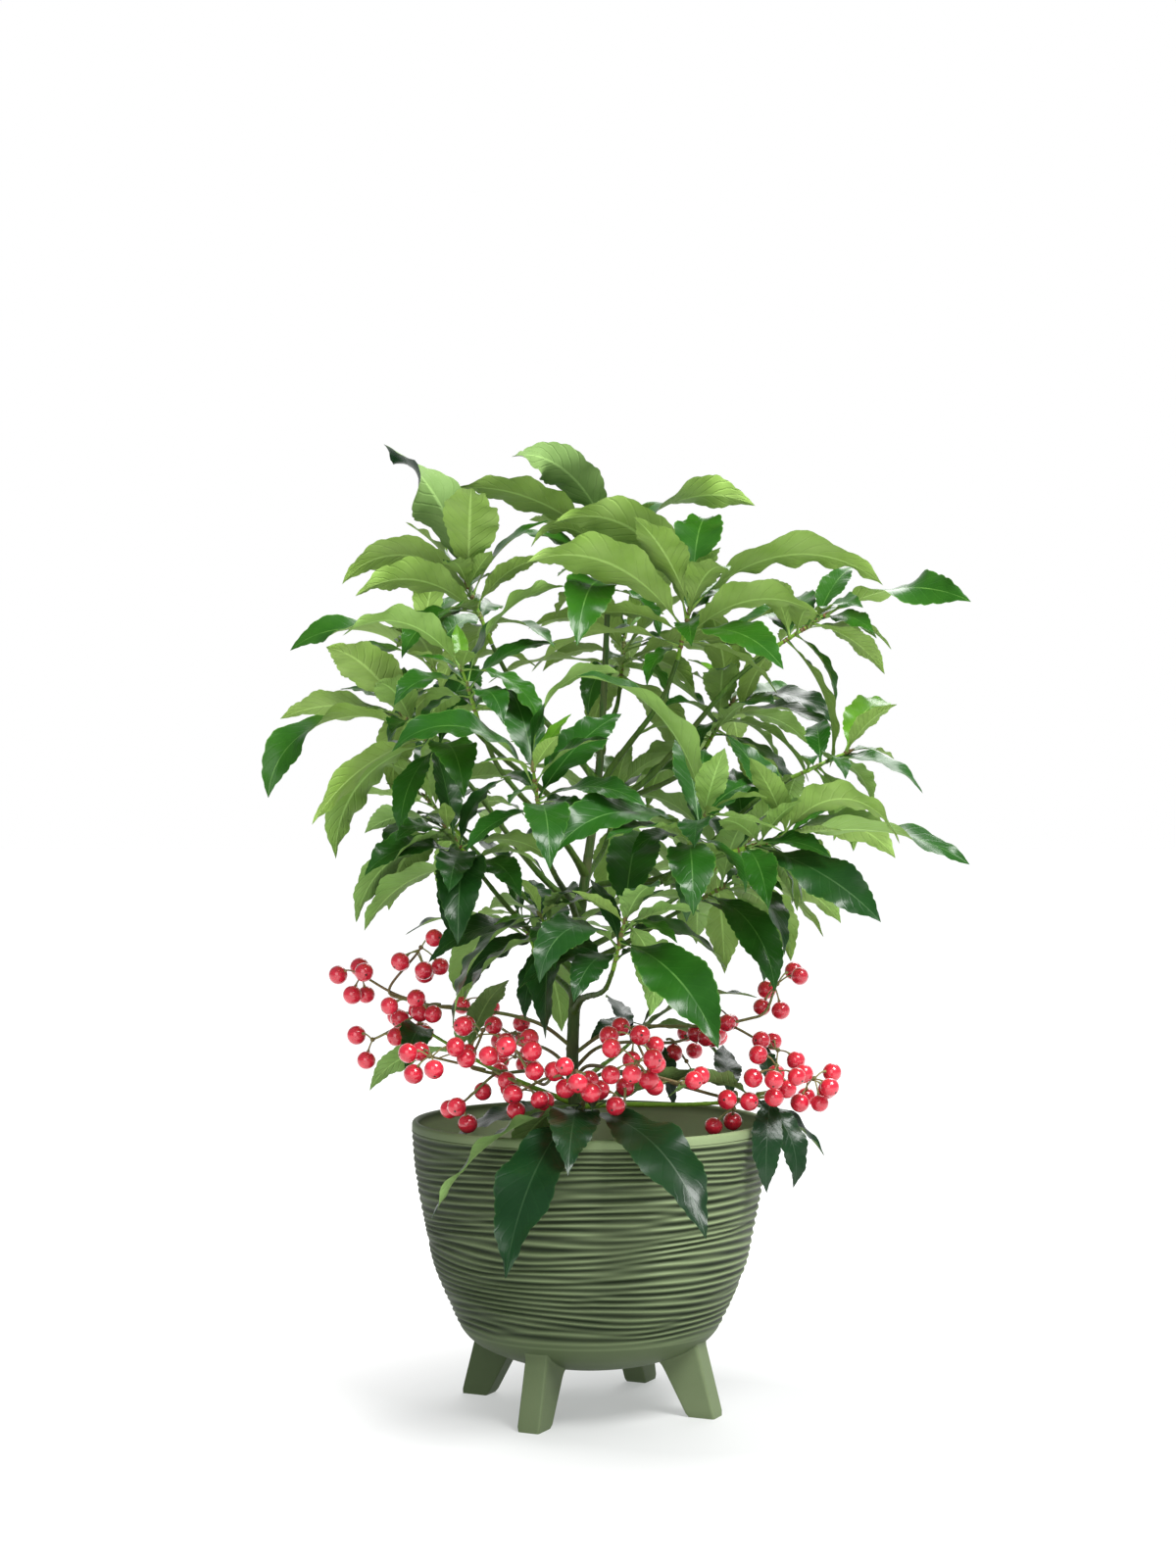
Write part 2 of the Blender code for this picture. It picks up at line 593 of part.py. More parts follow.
def pot_faces():
    """The pot's wall and soil as a coarse turned sheet, for testing what it touches."""
    profile = [(0.0, SOIL_LEVEL + 2), (84.0, SOIL_LEVEL + 1), (84.5, 141.0), (88.5, 146.0),
               (91.5, 143.0), (91.5, 134.0), (85.5, 90.0), (79.0, 65.0), (62.0, 36.0)]
    turn = np.linspace(0, 2 * math.pi, 48, endpoint=False)
    radius = np.array([r for r, z in profile])[:, None]
    height = np.array([z for r, z in profile])[:, None] + 0 * turn
    points = np.stack([radius * np.cos(turn), radius * np.sin(turn), height], axis=2)
    faces = []
    for i in range(len(profile) - 1):
        for k in range(48):
            n = (k + 1) % 48
            faces.append((i * 48 + k, i * 48 + n, i * 48 + 48 + n, i * 48 + 48 + k))
    return points.reshape(-1, 3), faces


def in_crown(leaf):
    """True if the leaf's tip and middle stay inside the crown's rounded outline."""
    place = midrib(leaf, (0.6, 1.0))[0]
    share = (place - np.array(CROWN_MIDDLE)) / np.array(CROWN_REACH)
    return bool(((share ** 2).sum(axis=1) < 1.0).all())


def settle(leaf, owner, space, tries):
    """The leaf, or the first turned copy of it that stands clear; None if none does."""
    for turn, lift in tries:
        tried = leaf._replace(azimuth=leaf.azimuth + turn, rise=leaf.rise + lift)
        if not space.clear(leaf_solid(tried, more=LEAF_AIR), owner):
            continue
        if space.clear(leaf_solid(tried, OUTER_START, OWN_AIR), owner, True):
            space.add(owner, leaf_solid(tried))
            space.add(owner, leaf_solid(tried, OUTER_START), True)
            return tried
    return None


def along_stem(path, share):
    """A place on a stem; the leaves sit on its last stretch."""
    length = np.concatenate([[0], np.cumsum(np.linalg.norm(np.diff(path, axis=0), axis=1))])
    first = max(length[-1] - (BELOW_HUB + ABOVE_HUB) + 4.5, 0.0)
    want = first + (length[-1] - 0.8 - first) * share
    return np.array([np.interp(want, length, path[:, k]) for k in range(3)])


def arc(droop):
    """Chord of a blade of length one that droops so far, and the chord's angle under the root."""
    bend = math.radians(droop) * ((np.arange(24) + 0.5) / 24) ** DROOP_POWER
    ahead, down = np.cos(bend).mean(), np.sin(bend).mean()
    return math.hypot(ahead, down), math.degrees(math.atan2(down, ahead))


def aimed(root, seen, length, droop, side):
    """Azimuth and rise that put the tip on the line of sight through a seen point.

    The tip is a chord away from the root, so it is where the line of sight meets a ball of
    that radius round the root: on the near side or the far one, or, if the line misses the
    ball, where it passes closest.
    """
    chord, under = arc(droop)
    sight = np.array(seen) - EYE
    sight /= np.linalg.norm(sight)
    along = float(np.dot(root - EYE, sight))
    miss = float(np.linalg.norm(root - EYE - along * sight))
    half = math.sqrt(max((chord * length) ** 2 - miss ** 2, 0.0))
    way = EYE + sight * (along + side * half) - root
    mean = math.degrees(math.asin(way[2] / np.linalg.norm(way)))
    return math.degrees(math.atan2(way[1], way[0])), mean + under


def breadth(spray):
    """Half width of a whorl's leaves as a share of length: the lower, the broader."""
    return float(np.interp(spray.hub[2], (150, 430), (LOW_BROAD, HIGH_BROAD)))


def shown_leaves(spray, stem, space):
    """The leaves of a spray that make the outline, highest first."""
    rows = SHOWN.get(spray.name, ())
    found = []
    tries = [(0, 0), (7, 3), (-7, -3), (12, -6), (-12, 6), (5, -12), (-5, 12)]
    for index, (across, up, length, droop, side, roll) in enumerate(rows):
        share = 1.0 - 0.8 * index / max(len(rows) - 1, 1)
        root = along_stem(stem[0], share)
        seen = np.array(spray.hub, float) + (across, 0, up)
        azimuth, rise = aimed(root, seen, length, droop, side)
        hand = math.copysign(1, math.cos(math.radians(azimuth)))
        turn, start = TWISTED.get((spray.name, index), (0, 1))
        leaf = Leaf(root, azimuth, rise, length, droop, roll * hand, (turn * hand, start),
                    breadth(spray), LEAF_SHAPE if length > SMALL_LEAF else FILLING_SHAPE)
        found.append(settle(leaf, spray.name, space, tries))
    return [leaf for leaf in found if leaf]


def filling_leaves(spray, stem, space):
    """The other leaves of a spray, by the golden angle round its stem, oldest first."""
    rule = random.Random(spray.name + " filling")
    count = spray.leaves - len(SHOWN.get(spray.name, ()))
    axis = stem[0][-1] - stem[0][-2]
    axis /= np.linalg.norm(axis)
    across = np.cross(axis, (0.31, -0.22, 0.92))
    across /= np.linalg.norm(across)
    other = np.cross(axis, across)
    tries = [(0, 0), (18, 0), (-18, 0), (36, 8), (-36, 8), (0, -16), (0, 16), (60, 0), (-60, 0)]
    found = []
    for index in range(count):
        share = (index + 0.4) / count
        turn = math.radians(spray.phase + GOLDEN * index)
        spread = math.radians(OPEN_OLD + (OPEN_YOUNG - OPEN_OLD) * share)
        way = (math.cos(spread) * axis
               + math.sin(spread) * (math.cos(turn) * across + math.sin(turn) * other))
        leaf = Leaf(along_stem(stem[0], share),
                    math.degrees(math.atan2(way[1], way[0])),
                    math.degrees(math.asin(max(-1.0, min(1.0, way[2])))),
                    spray.length * (1.08 - 0.3 * share) * rule.uniform(0.9, 1.1),
                    rule.uniform(50, 85) - 25 * share,
                    rule.uniform(-35, 35),
                    NO_TWIST,
                    breadth(spray),
                    FILLING_SHAPE)
        if in_crown(leaf):
            found.append(settle(leaf, spray.name, space, tries))
    return [leaf for leaf in found if leaf]


# Berries

def ball(centre, radius):
    """Points and faces of a coarse ball, for testing what it touches."""
    work = bmesh.new()
    bmesh.ops.create_icosphere(work, subdivisions=1, radius=radius)
    points = np.array([v.co for v in work.verts]) + centre
    faces = [tuple(v.index for v in f.verts) for f in work.faces]
    work.free()
    return points, faces


def stalk_path(cluster, trunk, girth):
    """The stalk of a cluster, from the trunk's middle up and out to the cluster."""
    centre = np.array(cluster.centre, float)
    start = on_path(trunk, girth, cluster.take_off)[0]
    out = centre - start
    azimuth = math.degrees(math.atan2(out[1], out[0]))
    return bow(start, heading(azimuth, 48), centre, heading(azimuth, 20), BOUGH_RINGS)


def cluster_plan(cluster, stalk, space):
    """Rays and berries of one cluster: umbels on short rays, weighed down."""
    rule = random.Random("berries " + cluster.name)
    owner = "berries_" + cluster.name
    centre = stalk[-1]
    rays, berries = [], []
    for r in range(cluster.rays):
        turn = cluster.phase + GOLDEN * r
        level = 1 - 2 * (r + 0.5) / cluster.rays
        rise = math.degrees(math.asin(level)) * RAY_RISE
        end = centre + heading(turn, rise) * cluster.spread * rule.uniform(0.75, 1.05)
        foot = stalk[-1] + (stalk[-3] - stalk[-1]) * r / cluster.rays
        ray = np.array([foot, end])
        if space.clear(tube_faces(ray, np.full(2, RAY + BERRY_AIR)), owner):
            space.add(owner, tube_faces(ray, np.full(2, RAY)))
            rays.append(ray)
    for b in range(len(rays) * 9):
        if len(berries) >= cluster.berries:
            break
        ray, lap = rays[b % len(rays)], b // len(rays)
        back = (ray[-2] - ray[-1]) / np.linalg.norm(ray[-2] - ray[-1])
        knot = ray[-1] + back * KNOT_STEP * (lap % 5)
        outward = ray[-1] - centre
        turn = math.degrees(math.atan2(outward[1], outward[0])) + GOLDEN * lap
        way = heading(turn, rule.uniform(-75, 30))
        place = knot + way * rule.uniform(10.5, 14.0)
        pedicel = np.array([knot, place - way * BERRY * 0.7])
        whole = space.clear(ball(place, BERRY * BERRY_WIDE + BERRY_AIR), owner)
        whole = whole and space.clear(ball(place, BERRY * BERRY_WIDE + BERRY_AIR), owner, True)
        slim = tube_faces(pedicel, np.full(2, PEDICEL + BERRY_AIR))
        if whole and space.clear(slim, owner):
            berries.append((place, pedicel))
            space.add(owner, ball(place, BERRY * BERRY_WIDE))
            space.add(owner, ball(place, BERRY * BERRY_WIDE), True)
            space.add(owner, tube_faces(pedicel, np.full(2, PEDICEL)))
    return stalk, rays, berries


def berry_object(place, collection, finish):
    """One berry, a ball of twenty faces."""
    mesh = bpy.data.meshes.new("berry")
    work = bmesh.new()
    bmesh.ops.create_icosphere(work, subdivisions=1, radius=BERRY * BERRY_WIDE * MM)
    bmesh.ops.translate(work, verts=work.verts, vec=Vector(place) * MM)
    work.to_mesh(mesh)
    work.free()
    return mesh_object("berry", mesh, collection, finish)


def fused(stem, pieces, cutter=None):
    """The stem with its pieces joined by one Boolean union, after its foot is cut clear."""
    if cutter:
        cut = stem.modifiers.new("foot", "BOOLEAN")
        cut.operation = "DIFFERENCE"
        cut.object = cutter
    join = stem.modifiers.new("join", "BOOLEAN")
    join.operation = "UNION"
    join.operand_type = "COLLECTION"
    join.collection = pieces
    bpy.context.view_layer.update()
    mesh = baked(stem, weld=False)
    main_shell(mesh)
    stem.modifiers.clear()
    stem.data = mesh
    for piece in list(pieces.objects):
        drop(piece)
    bpy.data.collections.remove(pieces)
    return stem


def stand_over_origin(plant, cutters):
    """Parent all to an empty that puts the middle of the whole plant's box over the origin."""
    bpy.context.view_layer.update()
    corners = np.array([made.matrix_world @ Vector(corner)
                        for made in plant.objects for corner in made.bound_box])
    middle = (corners.min(axis=0) + corners.max(axis=0)) / 2
    holder = bpy.data.objects.new("plant_place", None)
    bpy.context.scene.collection.objects.link(holder)
    holder.location = (-middle[0], -middle[1], 0.0)
    for made in list(plant.objects) + list(cutters.objects):
        made.parent = holder


def main():
    for old in list(bpy.data.objects):
        bpy.data.objects.remove(old, do_unlink=True)
    scene = bpy.context.scene
    plant = bpy.data.collections.new("potted_ardisia")
    cutters = bpy.data.collections.new("cutters")
    scene.collection.children.link(plant)
    scene.collection.children.link(cutters)

    glaze = material("pot_green", (0.20, 0.27, 0.15), 0.5)
    earth = material("soil_brown", (0.045, 0.030, 0.020), 0.95)
    bark = material("bark", (0.10, 0.11, 0.05), 0.7)
    shoot = material("green_bough", (0.14, 0.22, 0.06), 0.5)
    foliage = material("leaf_green", (0.06, 0.20, 0.04), 0.35)
    fruit = material("berry_red", (0.72, 0.04, 0.08), 0.25)

    turned("pot", pot_profile(), plant, glaze)
    turned("soil", soil_profile(), plant, earth)
    under = bowl_cutter(cutters, glaze)
    for index in range(4):
        leg(index, plant, under, glaze)

    limbs, stems = limb_plan()
    trunk, girth = limbs["trunk"]
    tube_object("trunk", trunk, girth, plant, bark, 8)
    cutter = {}
    for name in ("trunk", "front_right"):
        path, radii = limbs[name]
        wider = tube_object(name + "_cutter", path, radii + CLEAR, cutters, bark, 8)
        cutter[name] = as_cutter(wider)
    parents = {spray.name: spray.parent for spray in SPRAYS}
    for name, (path, radii) in limbs.items():
        if name == "trunk":
            continue
        bough = tube_object("bough_" + name, path, radii, plant, shoot, 6)
        cut = bough.modifiers.new("foot", "BOOLEAN")
        cut.operation = "DIFFERENCE"
        cut.object = cutter[parents[name]]

    space = Space()
    space.add("pot", pot_faces())
    for name, (path, radii) in limbs.items():
        space.add("limb_" + name, tube_faces(path, np.asarray(radii) + 0.6))
    for name, (path, radii) in stems.items():
        space.add(name, tube_faces(path, np.asarray(radii) + 0.4))
    stalks = {c.name: stalk_path(c, trunk, girth) for c in CLUSTERS}
    for name, path in stalks.items():
        space.add("berries_" + name, tube_faces(path, np.full(len(path), STALK_ROOT + 0.4)))
    leaves = {spray.name: shown_leaves(spray, stems[spray.name], space) for spray in SPRAYS}
    clusters = {c.name: cluster_plan(c, stalks[c.name], space) for c in CLUSTERS}
    for spray in SPRAYS:
        leaves[spray.name] += filling_leaves(spray, stems[spray.name], space)

    for spray in SPRAYS:
        path, radii = stems[spray.name]
        pieces = bpy.data.collections.new("pieces")
        scene.collection.children.link(pieces)
        stem = tube_object("leaves_" + spray.name, path, radii, plant, foliage, 3)
        for leaf in leaves[spray.name]:
            points, faces = leaf_solid(leaf)
            mesh = bpy.data.meshes.new("leaf")
            mesh.from_pydata([tuple(p * MM) for p in points], [], faces)
            mesh_object("leaf", mesh, pieces, foliage)
        on_trunk = spray.name in ON_TRUNK and spray.name != "top_centre"
        fused(stem, pieces, cutter["trunk"] if on_trunk else None)

    for cluster in CLUSTERS:
        stalk, rays, berries = clusters[cluster.name]
        pieces = bpy.data.collections.new("pieces")
        scene.collection.children.link(pieces)
        radii = np.linspace(STALK_ROOT, RAY, len(stalk))
        stem = tube_object("berries_" + cluster.name, stalk, radii, plant, fruit, 3)
        for ray in rays:
            tube_object("ray", ray, np.full(2, RAY), pieces, fruit, 3)
        for place, pedicel in berries:
            tube_object("pedicel", pedicel, np.full(2, PEDICEL), pieces, fruit, 3)
            berry_object(place, pieces, fruit)
        fused(stem, pieces, cutter["trunk"])

    stand_over_origin(plant, cutters)


main()
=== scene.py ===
# %% [markdown]
# # A potted ardisia
# The plant is a small evergreen shrub: one slender trunk, thin boughs that each end in a whorl
# of long glossy leaves, and drooping clusters of red berries over a ribbed sage-green pot.
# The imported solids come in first. They fix where everything is, and each finer piece made
# below stands in for some of them.

# %% load the frame
import json
import math
import random
from collections import namedtuple

import bpy
import bmesh
import numpy as np
from mathutils.bvhtree import BVHTree
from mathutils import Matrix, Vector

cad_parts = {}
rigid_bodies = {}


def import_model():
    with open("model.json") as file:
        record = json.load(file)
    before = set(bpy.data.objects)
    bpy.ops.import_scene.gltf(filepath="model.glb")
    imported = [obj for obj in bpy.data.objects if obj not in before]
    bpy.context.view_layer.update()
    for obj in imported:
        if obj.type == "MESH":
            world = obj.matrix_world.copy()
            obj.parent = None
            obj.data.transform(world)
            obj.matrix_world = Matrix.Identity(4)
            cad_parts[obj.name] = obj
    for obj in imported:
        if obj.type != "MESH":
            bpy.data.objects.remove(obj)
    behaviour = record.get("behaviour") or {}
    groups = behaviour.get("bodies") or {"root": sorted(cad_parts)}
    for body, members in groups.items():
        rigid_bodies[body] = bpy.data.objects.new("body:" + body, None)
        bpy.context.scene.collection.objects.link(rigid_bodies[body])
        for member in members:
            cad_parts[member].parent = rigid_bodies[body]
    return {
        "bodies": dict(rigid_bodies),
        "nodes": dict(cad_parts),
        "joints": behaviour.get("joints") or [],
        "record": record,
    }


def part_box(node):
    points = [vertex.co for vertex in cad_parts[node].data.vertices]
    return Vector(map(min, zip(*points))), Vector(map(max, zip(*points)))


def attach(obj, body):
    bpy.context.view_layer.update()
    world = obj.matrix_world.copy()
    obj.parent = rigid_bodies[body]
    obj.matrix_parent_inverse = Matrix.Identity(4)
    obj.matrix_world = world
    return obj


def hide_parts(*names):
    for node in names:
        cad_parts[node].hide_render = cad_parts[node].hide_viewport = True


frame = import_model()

MM = 0.001
TURN = 2 * math.pi
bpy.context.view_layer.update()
pot_low, pot_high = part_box("pot")
AXIS = np.array([(pot_low.x + pot_high.x) / 2, (pot_low.y + pot_high.y) / 2, 0.0])

# %% [markdown]
# ## Camera, floor and light
# The picture was taken from the height of the crown, so the upper leaves show their pale
# undersides and the lower ones their dark gloss. The camera goes where the same perspective
# comes out: its height, its distance from the pot's axis and its slight upward tilt were
# measured from the ellipse of the rim and the spread of the feet. A white studio needs little:
# a pale floor that glows as painted light, a sky that is white behind and dim elsewhere,
# and large soft lamps.

# %% camera
CAMERA_AWAY = 1.339          # from the pot's axis
CAMERA_HEIGHT = 0.2993
CAMERA_ASIDE = -0.001
CAMERA_UP = 0.617            # degrees
LENS = 60.6                  # mm, on a sensor 36 mm along the picture's long side

lens = bpy.data.cameras.new("camera")
lens.lens = LENS
lens.sensor_width = 36.0
camera = bpy.data.objects.new("camera", lens)
camera.location = (AXIS[0] + CAMERA_ASIDE, AXIS[1] - CAMERA_AWAY, CAMERA_HEIGHT)
camera.rotation_euler = (math.radians(90 + CAMERA_UP), 0, 0)
bpy.context.scene.collection.objects.link(camera)
bpy.context.scene.camera = camera


# %% lamps and floor
def lamp(name, place, aim, size, power, colour=(1, 1, 1)):
    """A square area lamp at a place, turned to face a point."""
    light = bpy.data.lights.new(name, "AREA")
    light.size = size
    light.energy = power
    light.color = colour
    made = bpy.data.objects.new(name, light)
    made.location = place
    way = np.array(aim, float) - np.array(place, float)
    flat = math.hypot(way[0], way[1])
    made.rotation_euler = (math.atan2(flat, -way[2]), 0, math.atan2(-way[0], way[1]))
    bpy.context.scene.collection.objects.link(made)
    return made


CROWN = (0.0, 0.0, 0.32)
lamp("key", (0.85, -0.98, 1.85), CROWN, 0.9, 70)
lamp("fill", (-0.5, -1.8, 0.8), CROWN, 1.2, 12)
lamp("back", (0.5, 1.3, 1.5), CROWN, 0.9, 12)
bpy.context.scene.view_settings.view_transform = "Standard"

# %% [markdown]
# ## Finishes by expression
# A procedural finish is shader maths. Wiring it by hand hides the formula, so a small class
# wraps a socket: a sum or a product on it adds the Math node, and the material reads like the
# formula it is. Colours are blended by a Mix node and never by sums.


# %% the wrapped socket
class Wire:
    """A shader value that arithmetic works on; any other node comes from `node`."""

    def __init__(self, tree, socket):
        self.tree = tree
        self.socket = socket

    def node(self, kind, settings=(), inputs=(), output=0):
        """Add a node: its settings are set first, then its sockets' values or links."""
        made = self.tree.nodes.new(kind)
        for key, value in dict(settings).items():
            if key == "stops":
                ramp = made.color_ramp
                while len(ramp.elements) < len(value):
                    ramp.elements.new(0.5)
                for stop, (place, colour) in zip(ramp.elements, value):
                    stop.position = place
                    stop.color = (*colour, 1.0)
            else:
                setattr(made, key, value)
        for key, value in dict(inputs).items():
            if isinstance(value, Wire):
                self.tree.links.new(value.socket, made.inputs[key])
            else:
                made.inputs[key].default_value = value
        return Wire(self.tree, made.outputs[output])

    def maths(self, operation, *values):
        return self.node("ShaderNodeMath", {"operation": operation}, enumerate(values))

    def __add__(self, other):
        return self.maths("ADD", self, other)

    def __sub__(self, other):
        return self.maths("SUBTRACT", self, other)

    def __rsub__(self, other):
        return self.maths("SUBTRACT", other, self)

    def __mul__(self, other):
        return self.maths("MULTIPLY", self, other)

    def __pow__(self, other):
        return self.maths("POWER", self, other)

    __radd__ = __add__
    __rmul__ = __mul__

    def clamp(self, low, high):
        """0 below low, 1 above high, straight between."""
        return self.node("ShaderNodeMapRange", {"clamp": True},
                         {"Value": self, "From Min": low, "From Max": high})

    def noise(self, vector, scale, detail=3.0, stretch=(1, 1, 1)):
        """Soft noise over a vector, stretched along its axes."""
        place = self.node("ShaderNodeMapping", {}, {"Vector": vector, "Scale": stretch})
        return self.node("ShaderNodeTexNoise", {},
                         {"Vector": place, "Scale": scale, "Detail": detail})

    def blend(self, one, other):
        """The colour one where this value is 0, and the other where it is 1."""
        colours = [c if isinstance(c, Wire) else (*c, 1.0) for c in (one, other)]
        return self.node("ShaderNodeMix", {"data_type": "RGBA"},
                         {0: self, 6: colours[0], 7: colours[1]}, output=2)


def finish(name, roughness, **constants):
    """A new Principled material, its start wire, its shader and its Object coordinates."""
    made = bpy.data.materials.new(name)
    made.use_nodes = True
    tree = made.node_tree
    shader = tree.nodes["Principled BSDF"]
    shader.inputs["Roughness"].default_value = roughness
    for key, value in constants.items():
        shader.inputs[key.replace("_", " ")].default_value = value
    start = Wire(tree, None)
    return made, start, shader, start.node("ShaderNodeTexCoord", output=3)


def feed(shader, name, wire):
    """Link a wire into one socket of a shader."""
    wire.tree.links.new(wire.socket, shader.inputs[name])


def relief(shader, height, depth, strength=1.0):
    """Bump from a height between 0 and 1, whose full range is depth metres."""
    bump = height.node("ShaderNodeBump", {},
                       {"Height": height, "Distance": depth, "Strength": strength})
    feed(shader, "Normal", bump)


# %% the room
ROOM_BACK = (1.0, 1.0, 1.0)
ROOM_LEFT = (0.25, 0.255, 0.26)
ROOM_RIGHT = (0.38, 0.39, 0.395)
ROOM_SIDE = 0.8                        # share of the way sideways, where a side is in full
WALL_EDGE, WALL_FULL = 0.55, 0.91      # share of the way that points at the wall


def studio():
    """A white wall behind the plant, a dim room on the left and a paler one on the right."""
    made = bpy.data.worlds.new("studio")
    made.use_nodes = True
    wire = Wire(made.node_tree, None)
    way = wire.node("ShaderNodeTexCoord", output=0)
    right = wire.node("ShaderNodeSeparateXYZ", {}, {"Vector": way}, 0).clamp(-ROOM_SIDE, ROOM_SIDE)
    behind = wire.node("ShaderNodeSeparateXYZ", {}, {"Vector": way}, 1).clamp(WALL_EDGE, WALL_FULL)
    light = behind.blend(right.blend(ROOM_LEFT, ROOM_RIGHT), ROOM_BACK)
    made.node_tree.links.new(light.socket, made.node_tree.nodes["Background"].inputs["Color"])
    return made


bpy.context.scene.world = studio()


# %% the floor
FLOOR = 40.0
SHADE_MIDDLE = (0.04, -0.02, 0.0)      # where the floor hardly glows, a little to the right
GLOW_START, GLOW_FULL = 0.08, 0.25     # metres from there
NEAR_GLOW, FAR_GLOW = (0.36, 0.37, 0.365), (0.86, 0.86, 0.86)
PAPER_DARK, PAPER_PALE = (0.32, 0.32, 0.32), (0.36, 0.36, 0.36)


def floor_finish():
    """Pale paper, faintly cloudy, that glows all round the plant as painted light: little near
    the pot, so that the shadow under it shows, and fully further out, so that it meets the wall
    and the lamps' shadows there fade.
    """
    made, wire, shader, place = finish("pale_floor", 0.7, Emission_Strength=1.0)
    cloud = wire.noise(place, 1.5, 2.0)
    feed(shader, "Base Color", cloud.blend(PAPER_DARK, PAPER_PALE))
    away = wire.node("ShaderNodeVectorMath", {"operation": "DISTANCE"},
                     {0: place, 1: SHADE_MIDDLE}, "Value")
    feed(shader, "Emission Color", away.clamp(GLOW_START, GLOW_FULL).blend(NEAR_GLOW, FAR_GLOW))
    return made


bpy.ops.mesh.primitive_plane_add(size=FLOOR, location=(0, 0, 0))
floor = bpy.context.object
floor.name = "floor"
floor.data.materials.append(floor_finish())

# %% [markdown]
# ## Skins
# Every new piece is a skin: rings of points worked out as whole arrays from two parameters,
# one along the piece and one round it, closed by a pole at each end. A berry, a leaf, a limb
# and the pot differ only in the formula for their rings. Many skins are piled up as arrays and
# put into one mesh at the end, because joining numbers is quicker than joining objects.


# %% skins, piles and pieces
def skin(rings, first, last, slots=0):
    """Points, quads and triangles of a closed skin over rings of shape (rows, count, 3).

    Point k of ring i meets point k + 1 and ring i + 1 in a quad, and the end rings are closed
    by fans to the poles. Rings run anticlockwise seen from the last pole, so faces point out.
    """
    rows, count = rings.shape[:2]
    points = np.vstack([rings.reshape(-1, 3), [first, last]])
    k = np.arange(count)
    n = (k + 1) % count
    base = np.arange(rows - 1)[:, None] * count
    quads = np.stack([base + k, base + n, base + count + n, base + count + k], axis=2)
    end = (rows - 1) * count
    pole = rows * count + 0 * k
    fans = np.vstack([np.stack([n, k, pole], axis=1),
                      np.stack([end + k, end + n, pole + 1], axis=1)])
    slot = np.broadcast_to(slots, (rows - 1, count))
    fan_slots = np.concatenate([slot[0], slot[-1]])
    return points, quads.reshape(-1, 4), fans, slot.reshape(-1), fan_slots


class Pile:
    """Skins gathered as arrays, to be put into one mesh."""

    def __init__(self):
        self.parts = []
        self.marks = []
        self.size = 0

    def add(self, part, marks=None):
        """Add a skin, with a pair of numbers for each point if the finish reads a UV map."""
        points, quads, fans, slots, fan_slots = part
        self.parts.append((points, quads + self.size, fans + self.size, slots, fan_slots))
        self.marks.append(np.zeros((len(points), 2)) if marks is None else marks)
        self.size += len(points)

    def piece(self, name, materials, nodes, slot, sharp=None):
        """One object from the whole pile, in metres, which stands for its CAD nodes."""
        points, quads, fans, slots, fan_slots = [np.concatenate(column)
                                                 for column in zip(*self.parts)]
        mesh = bpy.data.meshes.new(name)
        corners = np.concatenate([quads.ravel(), fans.ravel()]).astype(np.int32)
        starts = np.concatenate([np.arange(len(quads)) * 4,
                                 len(quads) * 4 + np.arange(len(fans)) * 3]).astype(np.int32)
        mesh.vertices.add(len(points))
        mesh.loops.add(len(corners))
        mesh.polygons.add(len(starts))
        mesh.vertices.foreach_set("co", (points * MM + AXIS).astype(np.float32).ravel())
        mesh.loops.foreach_set("vertex_index", corners)
        mesh.polygons.foreach_set("loop_start", starts)
        mesh.polygons.foreach_set("material_index",
                                  np.concatenate([slots, fan_slots]).astype(np.int32))
        marks = np.concatenate(self.marks)[corners]
        mesh.uv_layers.new(name="place").data.foreach_set("uv", marks.astype(np.float32).ravel())
        mesh.update(calc_edges=True)
        mesh.shade_smooth()
        if sharp:
            mesh.set_sharp_from_angle(angle=math.radians(sharp))
        for material in materials:
            mesh.materials.append(material)
        made = bpy.data.objects.new(name, mesh)
        bpy.context.scene.collection.objects.link(made)
        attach(made, "root")
        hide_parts(*nodes)
        print(name, len(quads) * 2 + len(fans), "triangles")
        return made


def spline(points, rows):
    """A smooth line through the points (Catmull-Rom), as evenly numbered places."""
    points = np.array(points, float)
    ends = np.vstack([2 * points[0] - points[1], points, 2 * points[-1] - points[-2]])
    t = np.linspace(0, len(points) - 1, rows)
    i = np.minimum(t.astype(int), len(points) - 2)
    u = (t - i)[:, None]
    a, b, c, d = ends[i], ends[i + 1], ends[i + 2], ends[i + 3]
    return 0.5 * (2 * b + (c - a) * u + (2 * a - 5 * b + 4 * c - d) * u ** 2
                  + (3 * b - a - 3 * c + d) * u ** 3)


# %% [markdown]
# ## The pot
# The real pot is one moulding in matt sage-green plastic: a bowl with a plain lip and about
# two dozen fine ridges that wander, fork and fade like the grain of driftwood. A texture could
# fake them, but they break the outline and catch the light, so they are made as shape: the
# wall's radius is the bowl's radius less a groove depth, which is a wave of the height pushed
# up and down by slow waves round the bowl.

# %% pot profile
RIM_TOP = 144.2
WALL = 3.2
LIP_HEIGHT = 3.6             # smooth lip above the first ridge
RIB_LOW = 40.0
POT_BOTTOM = 22.4
POT_FLOOR = 27.0
SOIL_LEVEL = 116.0
BOWL = [(27.0, 22.4), (39.8, 25.4), (49.7, 29.1), (58.7, 33.8), (65.3, 40.8), (71.3, 52.7),
        (76.8, 65.6), (80.0, 75.0), (83.3, 90.5), (88.0, 115.4), (90.0, 136.0), (90.0, 141.5)]
RIDGE_PITCH = 3.8
RIDGE_DEPTH = 1.3
CALM = 14.0                  # below the lip the first ridges run level
LIT_FLANK_SHIFT = 0.09                # how far up its flank the painted highlight of a crest is moved, in pitches
FOOT_PAINTED_SHADE = 0.16             # painted shade: the smooth foot is as dark as this share of a groove
POT_AROUND = 240
POT_DOWN = 250               # rows of the ridged wall


